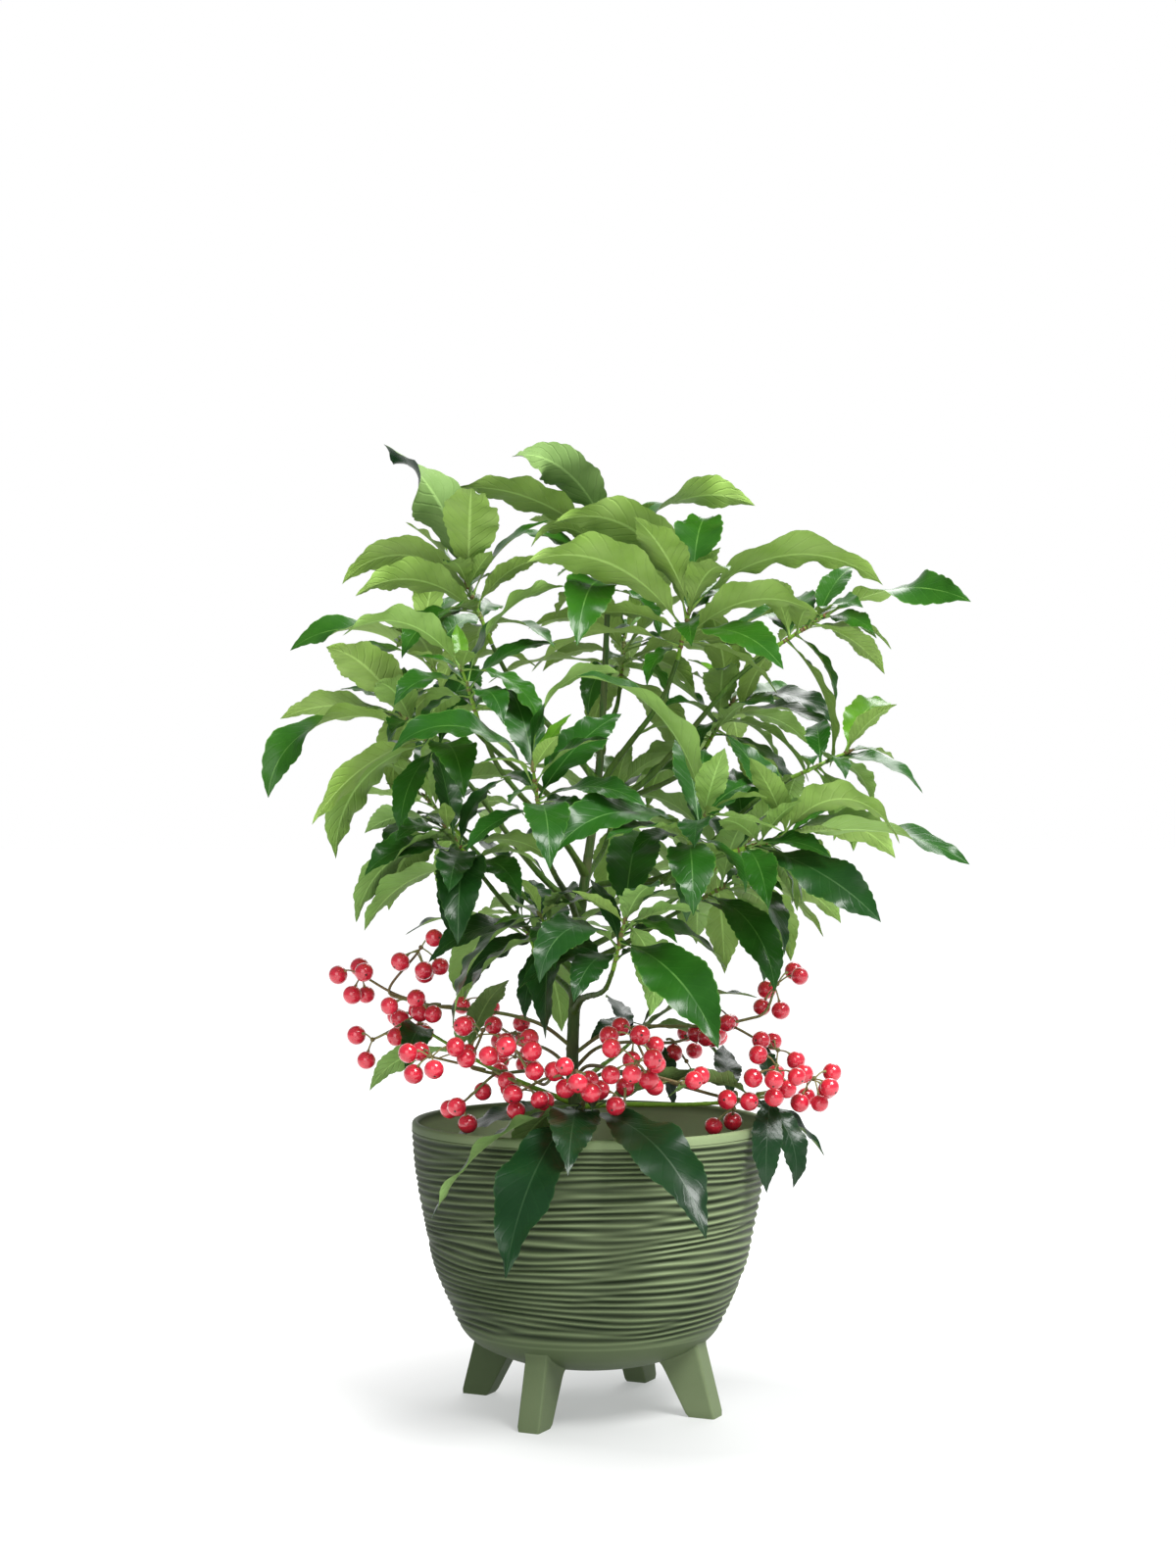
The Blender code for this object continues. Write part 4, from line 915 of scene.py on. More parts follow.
def midrib(leaf, s):
    """Places, sides, normals and ways ahead along a midrib that bends down more and more.

    The rise falls from its first value by the droop times the share of the length to the
    power 1.25; places are the running sum of the way ahead. The roll grows towards the tip,
    and a twisted leaf turns over within a short run.
    """
    steps = np.linspace(0, 1, 25)
    rise = np.radians(leaf.rise - leaf.droop * steps ** DROOP_POWER)
    turn = math.radians(leaf.azimuth)
    flat = np.cos(rise)
    way = np.stack([flat * math.cos(turn), flat * math.sin(turn), np.sin(rise)], axis=1)
    run = np.zeros_like(way)
    run[1:] = np.cumsum((way[1:] + way[:-1]) / 2, axis=0) * leaf.length / (len(steps) - 1)
    s = np.asarray(s, float)
    place = np.stack([np.interp(s, steps, run[:, k]) for k in range(3)], axis=1)
    ahead = np.stack([np.interp(s, steps, way[:, k]) for k in range(3)], axis=1)
    ahead /= np.linalg.norm(ahead, axis=1)[:, None]
    level = np.array([math.sin(turn), -math.cos(turn), 0.0])
    above = np.cross(level, ahead)
    tilt = math.radians(leaf.roll) * np.sin(np.pi * np.clip(s, 0, 1) / 2)
    turned_over = np.clip((s - leaf.twist[1]) / TWIST_RUN, 0, 1) ** 1.3
    tilt = (tilt + math.radians(leaf.twist[0]) * turned_over)[:, None]
    side = np.cos(tilt) * level + np.sin(tilt) * above
    return np.asarray(leaf.root) + place, side, np.cross(side, ahead), ahead


def leaf_solid(leaf, first=0.0, more=0.0):
    """Points and faces of a plain folded blade, for testing what it touches."""
    s = np.array((first,) + leaf.stations[1:])
    place, side, normal, _ = midrib(leaf, s)
    wide = (half_width(leaf, s) + more * 0.5)[:, None]
    thick = LEAF_THICK * leaf.length / 2 * np.clip(1.5 - s, 0.6, 1.0)
    thick = (np.minimum(thick, wide[:, 0]) + more)[:, None]
    edge = normal * wide * LEAF_FOLD
    rings = [place - side * wide + edge, place + normal * thick,
             place + side * wide + edge, place - normal * thick]
    count = len(s) - 1
    points = np.stack([ring[:count] for ring in rings], axis=1).reshape(-1, 3)
    points = np.vstack([points, place[-1:]])
    faces = [(3, 2, 1), (3, 1, 0)]
    for i in range(0, (count - 1) * 4, 4):
        for rib, edge, flip in ((1, 0, 1), (1, 2, 0), (3, 0, 0), (3, 2, 1)):
            near = [(i + rib, i + edge, i + edge + 4), (i + rib, i + edge + 4, i + rib + 4)]
            faces += [face[::-1] if flip else face for face in near]
    last = (count - 1) * 4
    faces += [(last + k, last + (k + 1) % 4, last + 4) for k in range(4)]
    return points, faces


def tube_faces(path, radii, sides=6):
    """Points and faces of an open tube along a path, for testing what it touches."""
    along = np.gradient(path, axis=0)
    along /= np.linalg.norm(along, axis=1)[:, None]
    side = np.cross(along, (0.3, 0.2, 0.93))
    side /= np.linalg.norm(side, axis=1)[:, None]
    up = np.cross(side, along)
    turn = np.linspace(0, TURN, sides, endpoint=False)
    ring = np.cos(turn)[None, :, None] * side[:, None] + np.sin(turn)[None, :, None] * up[:, None]
    points = (path[:, None] + ring * np.asarray(radii)[:, None, None]).reshape(-1, 3)
    faces = [(i * sides + k, i * sides + (k + 1) % sides,
              (i + 1) * sides + (k + 1) % sides, (i + 1) * sides + k)
             for i in range(len(path) - 1) for k in range(sides)]
    return points, faces


def pot_faces():
    """The pot's wall and soil as a coarse turned sheet, for testing what it touches."""
    profile = [(0.0, SOIL_LEVEL + 2), (84.0, SOIL_LEVEL + 1), (84.5, 141.0), (88.5, 146.0),
               (91.5, 143.0), (91.5, 134.0), (85.5, 90.0), (79.0, 65.0), (62.0, 36.0)]
    turn = np.linspace(0, TURN, 48, endpoint=False)
    radius, height = np.array(profile).T[:, :, None]
    points = np.stack([radius * np.cos(turn), radius * np.sin(turn), height + 0 * turn], axis=2)
    faces = [(i * 48 + k, i * 48 + (k + 1) % 48, i * 48 + 48 + (k + 1) % 48, i * 48 + 48 + k)
             for i in range(len(profile) - 1) for k in range(48)]
    return points.reshape(-1, 3), faces


# %% keeping clear
class Space:
    """What already stands in the plant's space, to keep every new piece clear of it.

    Pieces of one spray or cluster meet at their roots, so among themselves they are tested
    by their outer parts only, which are kept under the owner's own name.
    """

    def __init__(self):
        self.solids = []

    def add(self, owner, solid, outer=False):
        points, faces = solid
        tree = BVHTree.FromPolygons([tuple(p) for p in points], faces)
        self.solids.append((owner, outer, points.min(axis=0), points.max(axis=0), tree))

    def clear(self, solid, own=None, outer=False):
        points, faces = solid
        low, high = points.min(axis=0), points.max(axis=0)
        tree = None
        for owner, is_outer, least, most, other in self.solids:
            if is_outer != outer or (owner == own) != outer:
                continue
            if (least > high).any() or (most < low).any():
                continue
            tree = tree or BVHTree.FromPolygons([tuple(p) for p in points], faces)
            if tree.overlap(other):
                return False
        return True


def in_crown(leaf, reach=1.0):
    """True if the leaf's tip and middle stay inside the crown's rounded outline."""
    place = midrib(leaf, (0.6, 1.0))[0]
    share = (place - np.array(CROWN_MIDDLE)) / np.array(CROWN_REACH) / reach
    return bool(((share ** 2).sum(axis=1) < 1.0).all())


def settle(leaf, owner, space, tries, air=LEAF_AIR):
    """The leaf, or the first turned copy of it that stands clear; None if none does."""
    for turn, lift in tries:
        tried = leaf._replace(azimuth=leaf.azimuth + turn, rise=leaf.rise + lift)
        if not space.clear(leaf_solid(tried, more=air), owner):
            continue
        if space.clear(leaf_solid(tried, OUTER_START, OWN_AIR), owner, True):
            space.add(owner, leaf_solid(tried))
            space.add(owner, leaf_solid(tried, OUTER_START), True)
            return tried
    return None


# %% the growing rule
def along_stem(path, share):
    """A place on a stem; the leaves sit on its last stretch."""
    length = np.concatenate([[0], np.cumsum(np.linalg.norm(np.diff(path, axis=0), axis=1))])
    first = max(length[-1] - (BELOW_HUB + ABOVE_HUB) + 4.5, 0.0)
    want = first + (length[-1] - 0.8 - first) * share
    return np.array([np.interp(want, length, path[:, k]) for k in range(3)])


def arc(droop):
    """Chord of a blade of length one that droops so far, and the chord's angle under the root."""
    bend = math.radians(droop) * ((np.arange(24) + 0.5) / 24) ** DROOP_POWER
    ahead, down = np.cos(bend).mean(), np.sin(bend).mean()
    return math.hypot(ahead, down), math.degrees(math.atan2(down, ahead))


def aimed(root, seen, length, droop, side):
    """Azimuth and rise that put the tip on the line of sight through a seen point.

    The tip is a chord away from the root, so it is where the line of sight meets a ball of
    that radius round the root: on the near side or the far one, or, if the line misses the
    ball, where it passes closest.
    """
    chord, under = arc(droop)
    sight = np.array(seen) - EYE
    sight /= np.linalg.norm(sight)
    along = float(np.dot(root - EYE, sight))
    miss = float(np.linalg.norm(root - EYE - along * sight))
    half = math.sqrt(max((chord * length) ** 2 - miss ** 2, 0.0))
    way = EYE + sight * (along + side * half) - root
    mean = math.degrees(math.asin(way[2] / np.linalg.norm(way)))
    return math.degrees(math.atan2(way[1], way[0])), mean + under


def breadth(spray):
    """Half width of a whorl's leaves as a share of length: the lower, the broader."""
    return float(np.interp(spray.hub[2], (150, 430), (LOW_BROAD, HIGH_BROAD)))


SHOWN_TRIES = [(0, 0), (7, 3), (-7, -3), (12, -6), (-12, 6), (5, -12), (-5, 12)]


def measured_leaves(spray, path, rows, tries=SHOWN_TRIES, air=LEAF_AIR, twisted=TWISTED):
    """The leaves of a spray that were measured, highest first."""
    found = []
    for index, (across, up, length, droop, side, roll) in enumerate(rows):
        share = 1.0 - 0.8 * index / max(len(rows) - 1, 1)
        root = along_stem(path, share)
        seen = np.array(spray.hub, float) + (across, 0, up)
        azimuth, rise = aimed(root, seen, length, droop, side)
        hand = math.copysign(1, math.cos(math.radians(azimuth)))
        turn, start = twisted.get((spray.name, index), NO_TWIST)
        leaf = Leaf(root, azimuth, rise, length, droop, roll * hand, (turn * hand, start),
                    breadth(spray), LEAF_SHAPE if length > SMALL_LEAF else FILLING_SHAPE)
        found.append(settle(leaf, spray.name, space, tries, air))
    return [leaf for leaf in found if leaf]


def stem_frame(path):
    """The way a stem ends, and two directions across it."""
    axis = path[-1] - path[-2]
    axis /= np.linalg.norm(axis)
    across = np.cross(axis, (0.31, -0.22, 0.92))
    across /= np.linalg.norm(across)
    return axis, across, np.cross(axis, across)


def whorl_way(frame, turn, spread):
    """Azimuth and rise of a direction at a turn round a stem and a spread from its axis."""
    axis, across, other = frame
    way = (math.cos(spread) * axis
           + math.sin(spread) * (math.cos(turn) * across + math.sin(turn) * other))
    return math.degrees(math.atan2(way[1], way[0])), math.degrees(math.asin(np.clip(way[2], -1, 1)))


def filling_leaves(spray, path):
    """The other leaves of a spray, by the golden angle round its stem, oldest first."""
    rule = random.Random(spray.name + " filling")
    count = spray.leaves - len(SHOWN.get(spray.name, ()))
    tries = [(0, 0), (18, 0), (-18, 0), (36, 8), (-36, 8), (0, -16), (0, 16), (60, 0), (-60, 0)]
    found = []
    for index in range(count):
        share = (index + 0.4) / count
        turn = math.radians(spray.phase + GOLDEN * index)
        spread = math.radians(OPEN_OLD + (OPEN_YOUNG - OPEN_OLD) * share)
        leaf = Leaf(along_stem(path, share),
                    *whorl_way(stem_frame(path), turn, spread),
                    spray.length * (1.08 - 0.3 * share) * rule.uniform(0.9, 1.1),
                    rule.uniform(50, 85) - 25 * share,
                    rule.uniform(-35, 35),
                    NO_TWIST,
                    breadth(spray),
                    FILLING_SHAPE)
        if in_crown(leaf):
            found.append(settle(leaf, spray.name, space, tries))
    return [leaf for leaf in found if leaf]


# %% [markdown]
# ## Berries
# Ardisia fruits in umbels. A bare stalk comes from the trunk below the leaves, bows over and
# ends in a few short rays; each ray carries a bunch of berries on thin stalks of their own that
# leave it almost from one point and sag under the fruit's weight.

# %% clusters
BERRY = 4.9
BERRY_WIDE = 1.1
BERRY_AIR = 0.5
KNOT_STEP = 1.2
PEDICEL = 0.45
RAY = 0.6
RAY_RISE = 1.15              # the rays spread a little more upright than evenly
STALK_ROOT = 1.4

Cluster = namedtuple("Cluster", "name centre take_off berries rays spread phase")
CLUSTERS = [
    Cluster("left", (-98, -15, 207), 180, 16, 5, 27, 15),
    Cluster("front_left", (-56, -68, 176), 158, 12, 4, 24, 70),
    Cluster("front", (-25, -84, 171), 164, 10, 4, 25, 200),
    Cluster("front_right", (27, -76, 175), 162, 12, 4, 24, 120),
    Cluster("right_upper", (85, 8, 195), 176, 9, 3, 24, 40),
    Cluster("right", (93, -38, 160), 158, 12, 4, 24, 260),
    Cluster("back_left", (-46, 64, 184), 164, 7, 3, 23, 150),
    Cluster("back_right", (60, 66, 182), 168, 7, 3, 23, 310),
]


def ball(centre, radius):
    """Points and faces of a coarse ball, for testing what it touches."""
    work = bmesh.new()
    bmesh.ops.create_icosphere(work, subdivisions=1, radius=radius)
    points = np.array([v.co for v in work.verts]) + centre
    faces = [tuple(v.index for v in f.verts) for f in work.faces]
    work.free()
    return points, faces


def stalk_path(cluster):
    """The stalk of a cluster, from the trunk's middle up and out to the cluster."""
    centre = np.array(cluster.centre, float)
    start = on_trunk(cluster.take_off)
    out = centre - start
    azimuth = math.degrees(math.atan2(out[1], out[0]))
    return bow(start, heading(azimuth, 48), centre, heading(azimuth, 20), BOUGH_RINGS)


def cluster_rays(cluster, stalk, rule):
    """The rays of one cluster, spread round its middle."""
    owner = "berries_" + cluster.name
    rays = []
    for r in range(cluster.rays):
        turn = cluster.phase + GOLDEN * r
        level = 1 - 2 * (r + 0.5) / cluster.rays
        rise = math.degrees(math.asin(level)) * RAY_RISE
        end = stalk[-1] + heading(turn, rise) * cluster.spread * rule.uniform(0.75, 1.05)
        foot = stalk[-1] + (stalk[-3] - stalk[-1]) * r / cluster.rays
        ray = np.array([foot, end])
        if space.clear(tube_faces(ray, np.full(2, RAY + BERRY_AIR)), owner):
            space.add(owner, tube_faces(ray, np.full(2, RAY)))
            rays.append(ray)
    return rays


def cluster_berries(cluster, stalk, rays, rule, wanted, air, laps):
    """Places and knots of berries round the rays' ends, as many as stand clear."""
    owner = "berries_" + cluster.name
    berries = []
    for b in range(laps.start * len(rays), laps.stop * len(rays)):
        if len(berries) >= wanted:
            break
        ray, lap = rays[b % len(rays)], b // len(rays)
        back = (ray[-2] - ray[-1]) / np.linalg.norm(ray[-2] - ray[-1])
        knot = ray[-1] + back * KNOT_STEP * (lap % 5)
        outward = ray[-1] - stalk[-1]
        turn = math.degrees(math.atan2(outward[1], outward[0])) + GOLDEN * lap
        way = heading(turn, rule.uniform(-75, 30))
        place = knot + way * rule.uniform(10.5, 14.0)
        pedicel = np.array([knot, place - way * BERRY * 0.7])
        whole = space.clear(ball(place, BERRY * BERRY_WIDE + air), owner)
        whole = whole and space.clear(ball(place, BERRY * BERRY_WIDE + air), owner, True)
        slim = tube_faces(pedicel, np.full(2, PEDICEL + air))
        if whole and space.clear(slim, owner):
            berries.append((place, knot))
            space.add(owner, ball(place, BERRY * BERRY_WIDE))
            space.add(owner, ball(place, BERRY * BERRY_WIDE), True)
            space.add(owner, tube_faces(pedicel, np.full(2, PEDICEL)))
    return berries


# %% grow it all
space = Space()
space.add("pot", pot_faces())
space.add("limb_trunk", tube_faces(trunk, girth + 0.6))
for name, (path, radii) in limbs.items():
    space.add("limb_" + name, tube_faces(path, radii + 0.6))
for name, (path, radii) in stems.items():
    space.add(name, tube_faces(path, radii + 0.4))
stalks = {c.name: stalk_path(c) for c in CLUSTERS}
for name, path in stalks.items():
    space.add("berries_" + name, tube_faces(path, np.full(len(path), STALK_ROOT + 0.4)))
leaves = {spray.name: measured_leaves(spray, stems[spray.name][0], SHOWN.get(spray.name, ()))
          for spray in SPRAYS}
rays, berries, rules = {}, {}, {}
for c in CLUSTERS:
    rules[c.name] = random.Random("berries " + c.name)
    rays[c.name] = cluster_rays(c, stalks[c.name], rules[c.name])
    berries[c.name] = cluster_berries(c, stalks[c.name], rays[c.name], rules[c.name],
                                      c.berries, BERRY_AIR, range(9))
for spray in SPRAYS:
    leaves[spray.name] += filling_leaves(spray, stems[spray.name][0])
print("as in the solids:", sum(map(len, leaves.values())), "leaves,",
      sum(map(len, berries.values())), "berries")

# %% [markdown]
# ## Finer growth
# The solids hold only as many leaves as their triangles allow. The same rule is carried on
# here: first the leaves further in, then a few more for each whorl in the gaps of the golden
# angle and a tuft of small young leaves at its tip, and for each umbel a few more berries. They keep within the same reach
# and clear of everything that already stands.

# %% more leaves and berries
YOUNG_LEAVES = 3
MORE_LEAVES = 6
FINE_AIR = 0.5


def young_leaves(spray, path):
    """Small upright leaves round a stem's tip."""
    rule = random.Random(spray.name + " young")
    tries = [(0, 0), (25, 0), (-25, 0), (50, 10), (-50, -10), (90, 0)]
    found = []
    for index in range(YOUNG_LEAVES):
        turn = math.radians(spray.phase + 60 + GOLDEN * index)
        spread = math.radians(rule.uniform(24, 52))
        leaf = Leaf(along_stem(path, 1.0), *whorl_way(stem_frame(path), turn, spread),
                    rule.uniform(24, 44), rule.uniform(20, 60), rule.uniform(-25, 25),
                    NO_TWIST, breadth(spray), FILLING_SHAPE)
        if in_crown(leaf):
            found.append(settle(leaf, spray.name, space, tries, FINE_AIR))
    return [leaf for leaf in found if leaf]


def more_leaves(spray, path):
    """Leaves in the gaps of the golden angle, shorter than the first ones."""
    rule = random.Random(spray.name + " more")
    tries = [(0, 0), (20, 0), (-20, 0), (40, 8), (-40, 8), (0, -20), (0, 20), (70, 0), (-70, 0)]
    found = []
    for index in range(MORE_LEAVES):
        share = (index + 0.5) / MORE_LEAVES
        turn = math.radians(spray.phase + 68 + GOLDEN * index)
        spread = math.radians(OPEN_OLD + 8 + (OPEN_YOUNG - OPEN_OLD) * share)
        leaf = Leaf(along_stem(path, share * 0.8), *whorl_way(stem_frame(path), turn, spread),
                    spray.length * rule.uniform(0.5, 0.9), rule.uniform(45, 100) - 20 * share,
                    rule.uniform(-35, 35), NO_TWIST, breadth(spray), FILLING_SHAPE)
        if in_crown(leaf):
            found.append(settle(leaf, spray.name, space, tries, FINE_AIR))
    return [leaf for leaf in found if leaf]


INNER_TRIES = [(0, 0), (6, 4), (-6, -4), (12, 10), (-12, -10), (20, 0), (-20, 0), (0, 20),
               (0, -20), (30, 15), (-30, 15), (30, -15), (-30, -15), (45, 0), (-45, 0)]

small = {}
inner = {spray.name: measured_leaves(spray, stems[spray.name][0], INNER.get(spray.name, ()),
                                     INNER_TRIES, FINE_AIR, {}) for spray in SPRAYS}
print("leaves further in:", sum(map(len, inner.values())), "of", sum(map(len, INNER.values())))
for spray in SPRAYS:
    leaves[spray.name] += inner[spray.name]
for spray in SPRAYS:
    leaves[spray.name] += more_leaves(spray, stems[spray.name][0])
    small[spray.name] = young_leaves(spray, stems[spray.name][0])
for c in CLUSTERS:
    berries[c.name] += cluster_berries(c, stalks[c.name], rays[c.name], rules[c.name],
                                       round(c.berries * 0.5), 0.1, range(9, 24))
print("with the finer growth:", sum(map(len, leaves.values())), "leaves,",
      sum(map(len, small.values())), "young ones,", sum(map(len, berries.values())), "berries")

# %% [markdown]
# ## Bark
# A young ardisia trunk is olive brown, as thick as a pencil, and ringed with the scars of
# fallen leaves. The relief is in the mesh: each ring's radius has a slow swelling, the scars as
# narrow bumps every centimetre or so, and fine streaks that run up the trunk.


# %% tubes
def unit(vectors):
    """Vectors at length one."""
    return vectors / np.linalg.norm(vectors, axis=-1, keepdims=True)


def frame_along(path):
    """Side and up at each place of a path, with no twist out of its upright plane."""
    along = unit(np.gradient(path, axis=0))
    chord = path[-1] - path[0]
    level = np.array([-chord[1], chord[0], 0.0])
    if np.linalg.norm(level) < 1e-3 * np.linalg.norm(chord):
        level = np.array([0.0, 1.0, 0.0])
    up = unit(np.cross(along, level))
    return np.cross(up, along), up, along


def tube(path, radii, sides=8):
    """A closed tube: rings of radii (rows or rows by sides) round a path."""
    side, up, _ = frame_along(path)
    turn = np.linspace(0, TURN, sides, endpoint=False)
    radii = np.asarray(radii, float)
    radii = radii[:, None] if radii.ndim == 1 else radii
    ring = np.cos(turn)[None, :, None] * side[:, None] + np.sin(turn)[None, :, None] * up[:, None]
    rings = path[:, None] + ring * (radii + 0 * turn)[:, :, None]
    return skin(rings, path[0], path[-1])


def run_length(path):
    """How far along a path each of its places lies."""
    return np.concatenate([[0], np.cumsum(np.linalg.norm(np.diff(path, axis=0), axis=1))])


def scarred(path, radii, sides, seed, pitch, height):
    """Radii with leaf scars a pitch apart and fine streaks along."""
    rule = np.random.default_rng(seed)
    far = run_length(path)[:, None]
    turn = np.linspace(0, TURN, sides, endpoint=False)[None, :]
    made = np.asarray(radii, float)[:, None] * np.ones((1, sides))
    place = pitch * 0.5
    while place < far[-1, 0]:
        tilt = rule.uniform(-0.5, 0.5)
        middle = place + tilt * np.sin(turn + rule.uniform(0, TURN))
        strong = height * rule.uniform(0.5, 1.2) * (0.75 + 0.25 * np.sin(turn + place))
        made = made + strong * np.exp(-((far - middle) / 0.7) ** 2)
        place += pitch * rule.uniform(0.6, 1.4)
    for around in (3, 5, 8, 13):
        drift = 0.8 * np.sin(far * rule.uniform(0.02, 0.06) + rule.uniform(0, TURN))
        made = made * (1 + 0.012 * np.sin(around * turn + drift + rule.uniform(0, TURN)))
    return made


# %% bark finishes
GREEN_FROM, GREEN_FULL = 0.17, 0.26    # metres up, where the trunk's bark turns green


def bark(name, dark, pale, moss, roughness, green=None):
    """Streaks along the limb in two tones, a haze of a third, and green higher up if given."""
    made, wire, shader, place = finish(name, roughness, Specular_IOR_Level=0.25)
    streak = wire.noise(place, 420.0, 4.0, (1, 1, 0.16)).clamp(0.32, 0.68)
    haze = wire.noise(place, 38.0, 3.0).clamp(0.35, 0.62)
    tone = haze.blend(streak.blend(dark, pale), moss)
    if green:
        height = wire.node("ShaderNodeSeparateXYZ", {}, {"Vector": place}, 2)
        tone = height.clamp(GREEN_FROM, GREEN_FULL).blend(tone, streak.blend(green, pale))
    feed(shader, "Base Color", tone)
    feed(shader, "Roughness", roughness - 0.1 + 0.2 * streak)
    relief(shader, streak, 0.0003)
    return made


trunk_bark = bark("trunk_bark", (0.034, 0.042, 0.015), (0.095, 0.115, 0.042),
                  (0.050, 0.095, 0.022), 0.7, green=(0.030, 0.085, 0.012))
bough_bark = bark("bough_bark", (0.032, 0.088, 0.010), (0.080, 0.175, 0.020),
                  (0.060, 0.105, 0.016), 0.55)
shoot_green = bark("shoot_green", (0.130, 0.285, 0.018), (0.235, 0.420, 0.036),
                   (0.165, 0.310, 0.028), 0.45)
bud_brown = bark("bud_brown", (0.100, 0.050, 0.022), (0.210, 0.110, 0.045),
                 (0.160, 0.180, 0.050), 0.55)

# %% trunk, boughs, shoots
TRUNK_SIDES = 40
fine = spline(trunk, 260)
thick = np.interp(np.linspace(0, 1, 260), np.linspace(0, 1, len(trunk)), girth)
post = Pile()
post.add(tube(fine, scarred(fine, thick - 0.15, TRUNK_SIDES, 3, 10.0, 0.42), TRUNK_SIDES))
post.piece("trunk_bark", [trunk_bark], ["trunk"], "bark", sharp=60)

arms = Pile()
for index, (name, (path, radii)) in enumerate(sorted(limbs.items())):
    fine = spline(path, 64)
    far = run_length(fine)
    thick = np.interp(far / far[-1], np.linspace(0, 1, len(radii)), radii) - 0.1
    thick = thick + 0.9 * np.exp(-np.maximum(far - 2.5, 0) / 3.0)
    arms.add(tube(fine, scarred(fine, thick, 12, 20 + index, 13.0, 0.28), 12))
arms.piece("boughs", [bough_bark], ["bough_" + name for name in limbs], "green_bough", sharp=60)

shoots, buds = Pile(), Pile()
bud = ball_rings(5, 8)
for index, (name, (path, radii)) in enumerate(sorted(stems.items())):
    fine = spline(path, 48)
    far = run_length(fine)
    thick = np.interp(far / far[-1], np.linspace(0, 1, len(radii)), radii)
    shoots.add(tube(fine, scarred(fine, thick, 10, 60 + index, 6.0, 0.3), 10))
    axis = unit(fine[-1] - fine[-2])
    top = np.array([fine[-1] + axis * d for d in np.linspace(-1.0, 4.5, 7)])
    buds.add(tube(top, [0.9, 1.15, 1.2, 1.0, 0.75, 0.45, 0.15], 8))
    for leaf in leaves[name] + small[name]:
        grow = 1.0 + 0.004 * leaf.length
        buds.add(skin(bud * grow + leaf.root, leaf.root - (0, 0, grow), leaf.root + (0, 0, grow)))
LEAF_NODES = ["leaves_" + spray.name for spray in SPRAYS]
shoots.piece("shoots", [shoot_green], LEAF_NODES, "green_bough", sharp=60)
buds.piece("buds", [bud_brown], LEAF_NODES, "green_bough")

# %% [markdown]
# ## Leaf blades
# The blade is leathery: glossy dark green on top, pale and matt below, with a pale midrib, and
# a crisped margin of small rounded teeth that ripples up and down. One blade is a ring of
# fourteen points carried along the midrib. The quads below start at another corner than those
# on top, so both are split along the same diagonal and don't cross at the thin margin. The ring's half width is the plain blade's with a
# tooth every third row; its height over the midrib is the fold, plus a ripple that grows with
# the square of the distance from the midrib and has its own wave on either side.

# %% blades
TEETH = 15
BLADE_THICK = 0.36
RIB_HALF = 0.4
SLIM_HEIGHTS, SLIM_LOW = (160, 250), 0.86    # the lowest blades are slimmer than their solids
T, U, R = 0, 1, 2            # material slots: top, underside, rib
BLADE_SLOTS = np.array([T, T, T, R, T, T, T, U, U, U, U, U, U, U])


def blade(leaf, rule):
    """Skin and marks of one blade; a mark is (share across, share along)."""
    rows = TEETH * 3
    step = np.arange(rows)
    s = step / rows * 0.992
    place, side, normal, _ = midrib(leaf, s)
    wide = half_width(leaf, s) * np.interp(leaf.root[2], SLIM_HEIGHTS, (SLIM_LOW, 1.0))
    full = np.clip(wide / 5.0, 0, 1)
    tooth = np.where(step % 3 == 0, -0.42, 0.26) * full * np.clip(leaf.length / 70, 0.5, 1)
    size = leaf.length / 80
    rib = np.clip(RIB_HALF * size * (1 - 0.75 * s) / wide, 0.03, 0.55)
    thick = BLADE_THICK + (2 * PETIOLE * 0.85 - BLADE_THICK) * np.clip(1 - s / 0.1, 0, 1)
    share = np.array([1.0, 0.66, 0.3, 0.0])[None, :]
    half = rib[:, None] + (1 - rib[:, None]) * share
    top = np.concatenate([-half, half[:, ::-1]], axis=1)
    across = np.concatenate([top, top[:, 1:-1][:, ::-1]], axis=1)
    below = np.array([0.0] + [1.0] * 6 + [0.0] + [-1.0] * 6)
    below[[0, 7]] = 0.0
    left, right = [amount * np.sin(TURN * pace * s + start) for amount, pace, start in
                   [(rule.uniform(0.7, 1.7), rule.uniform(3.2, 5.6), rule.uniform(0, TURN))
                    for _ in range(2)]]
    bulge = [1 + 0.07 * np.sin(TURN * 1.2 * s + rule.uniform(0, TURN)) for _ in range(2)]
    edge_left, edge_right = [(wide * b + tooth)[:, None] for b in bulge]
    out = np.where(across < 0, across * edge_left, across * edge_right)
    fold = LEAF_FOLD * rule.uniform(0.35, 1.35)
    lift = wide[:, None] * fold * np.abs(across) ** 1.35
    ripple = np.where(across < 0, left[:, None], right[:, None]) * size * full[:, None]
    lift = lift + ripple * across ** 2
    quilt = np.sin(TURN * (13 * s[:, None] - 2.2 * np.abs(across))) * full[:, None]
    lift = lift + 0.09 * quilt * np.abs(across) * (1 - np.abs(across)) * 4 * size
    keel = np.abs(across) <= rib[:, None] * 1.01
    lift = lift + thick[:, None] / 2 * below * np.where(keel & (below < 0), 1.9, 1.0)
    rings = (place[:, None] + side[:, None] * out[:, :, None]
             + normal[:, None] * lift[:, :, None])
    tip = midrib(leaf, [1.0])[0][0]
    marks = np.stack([0.5 + across / 2, s[:, None] + 0 * across], axis=2).reshape(-1, 2)
    marks = np.vstack([marks, [(0.5, 0.0), (0.5, 1.0)]])
    points, quads, *others = skin(rings, place[0], tip, BLADE_SLOTS)
    quads = quads.reshape(rows - 1, -1, 4)
    quads[:, 7:] = np.roll(quads[:, 7:], -1, axis=2)
    return (points, quads.reshape(-1, 4), *others), marks
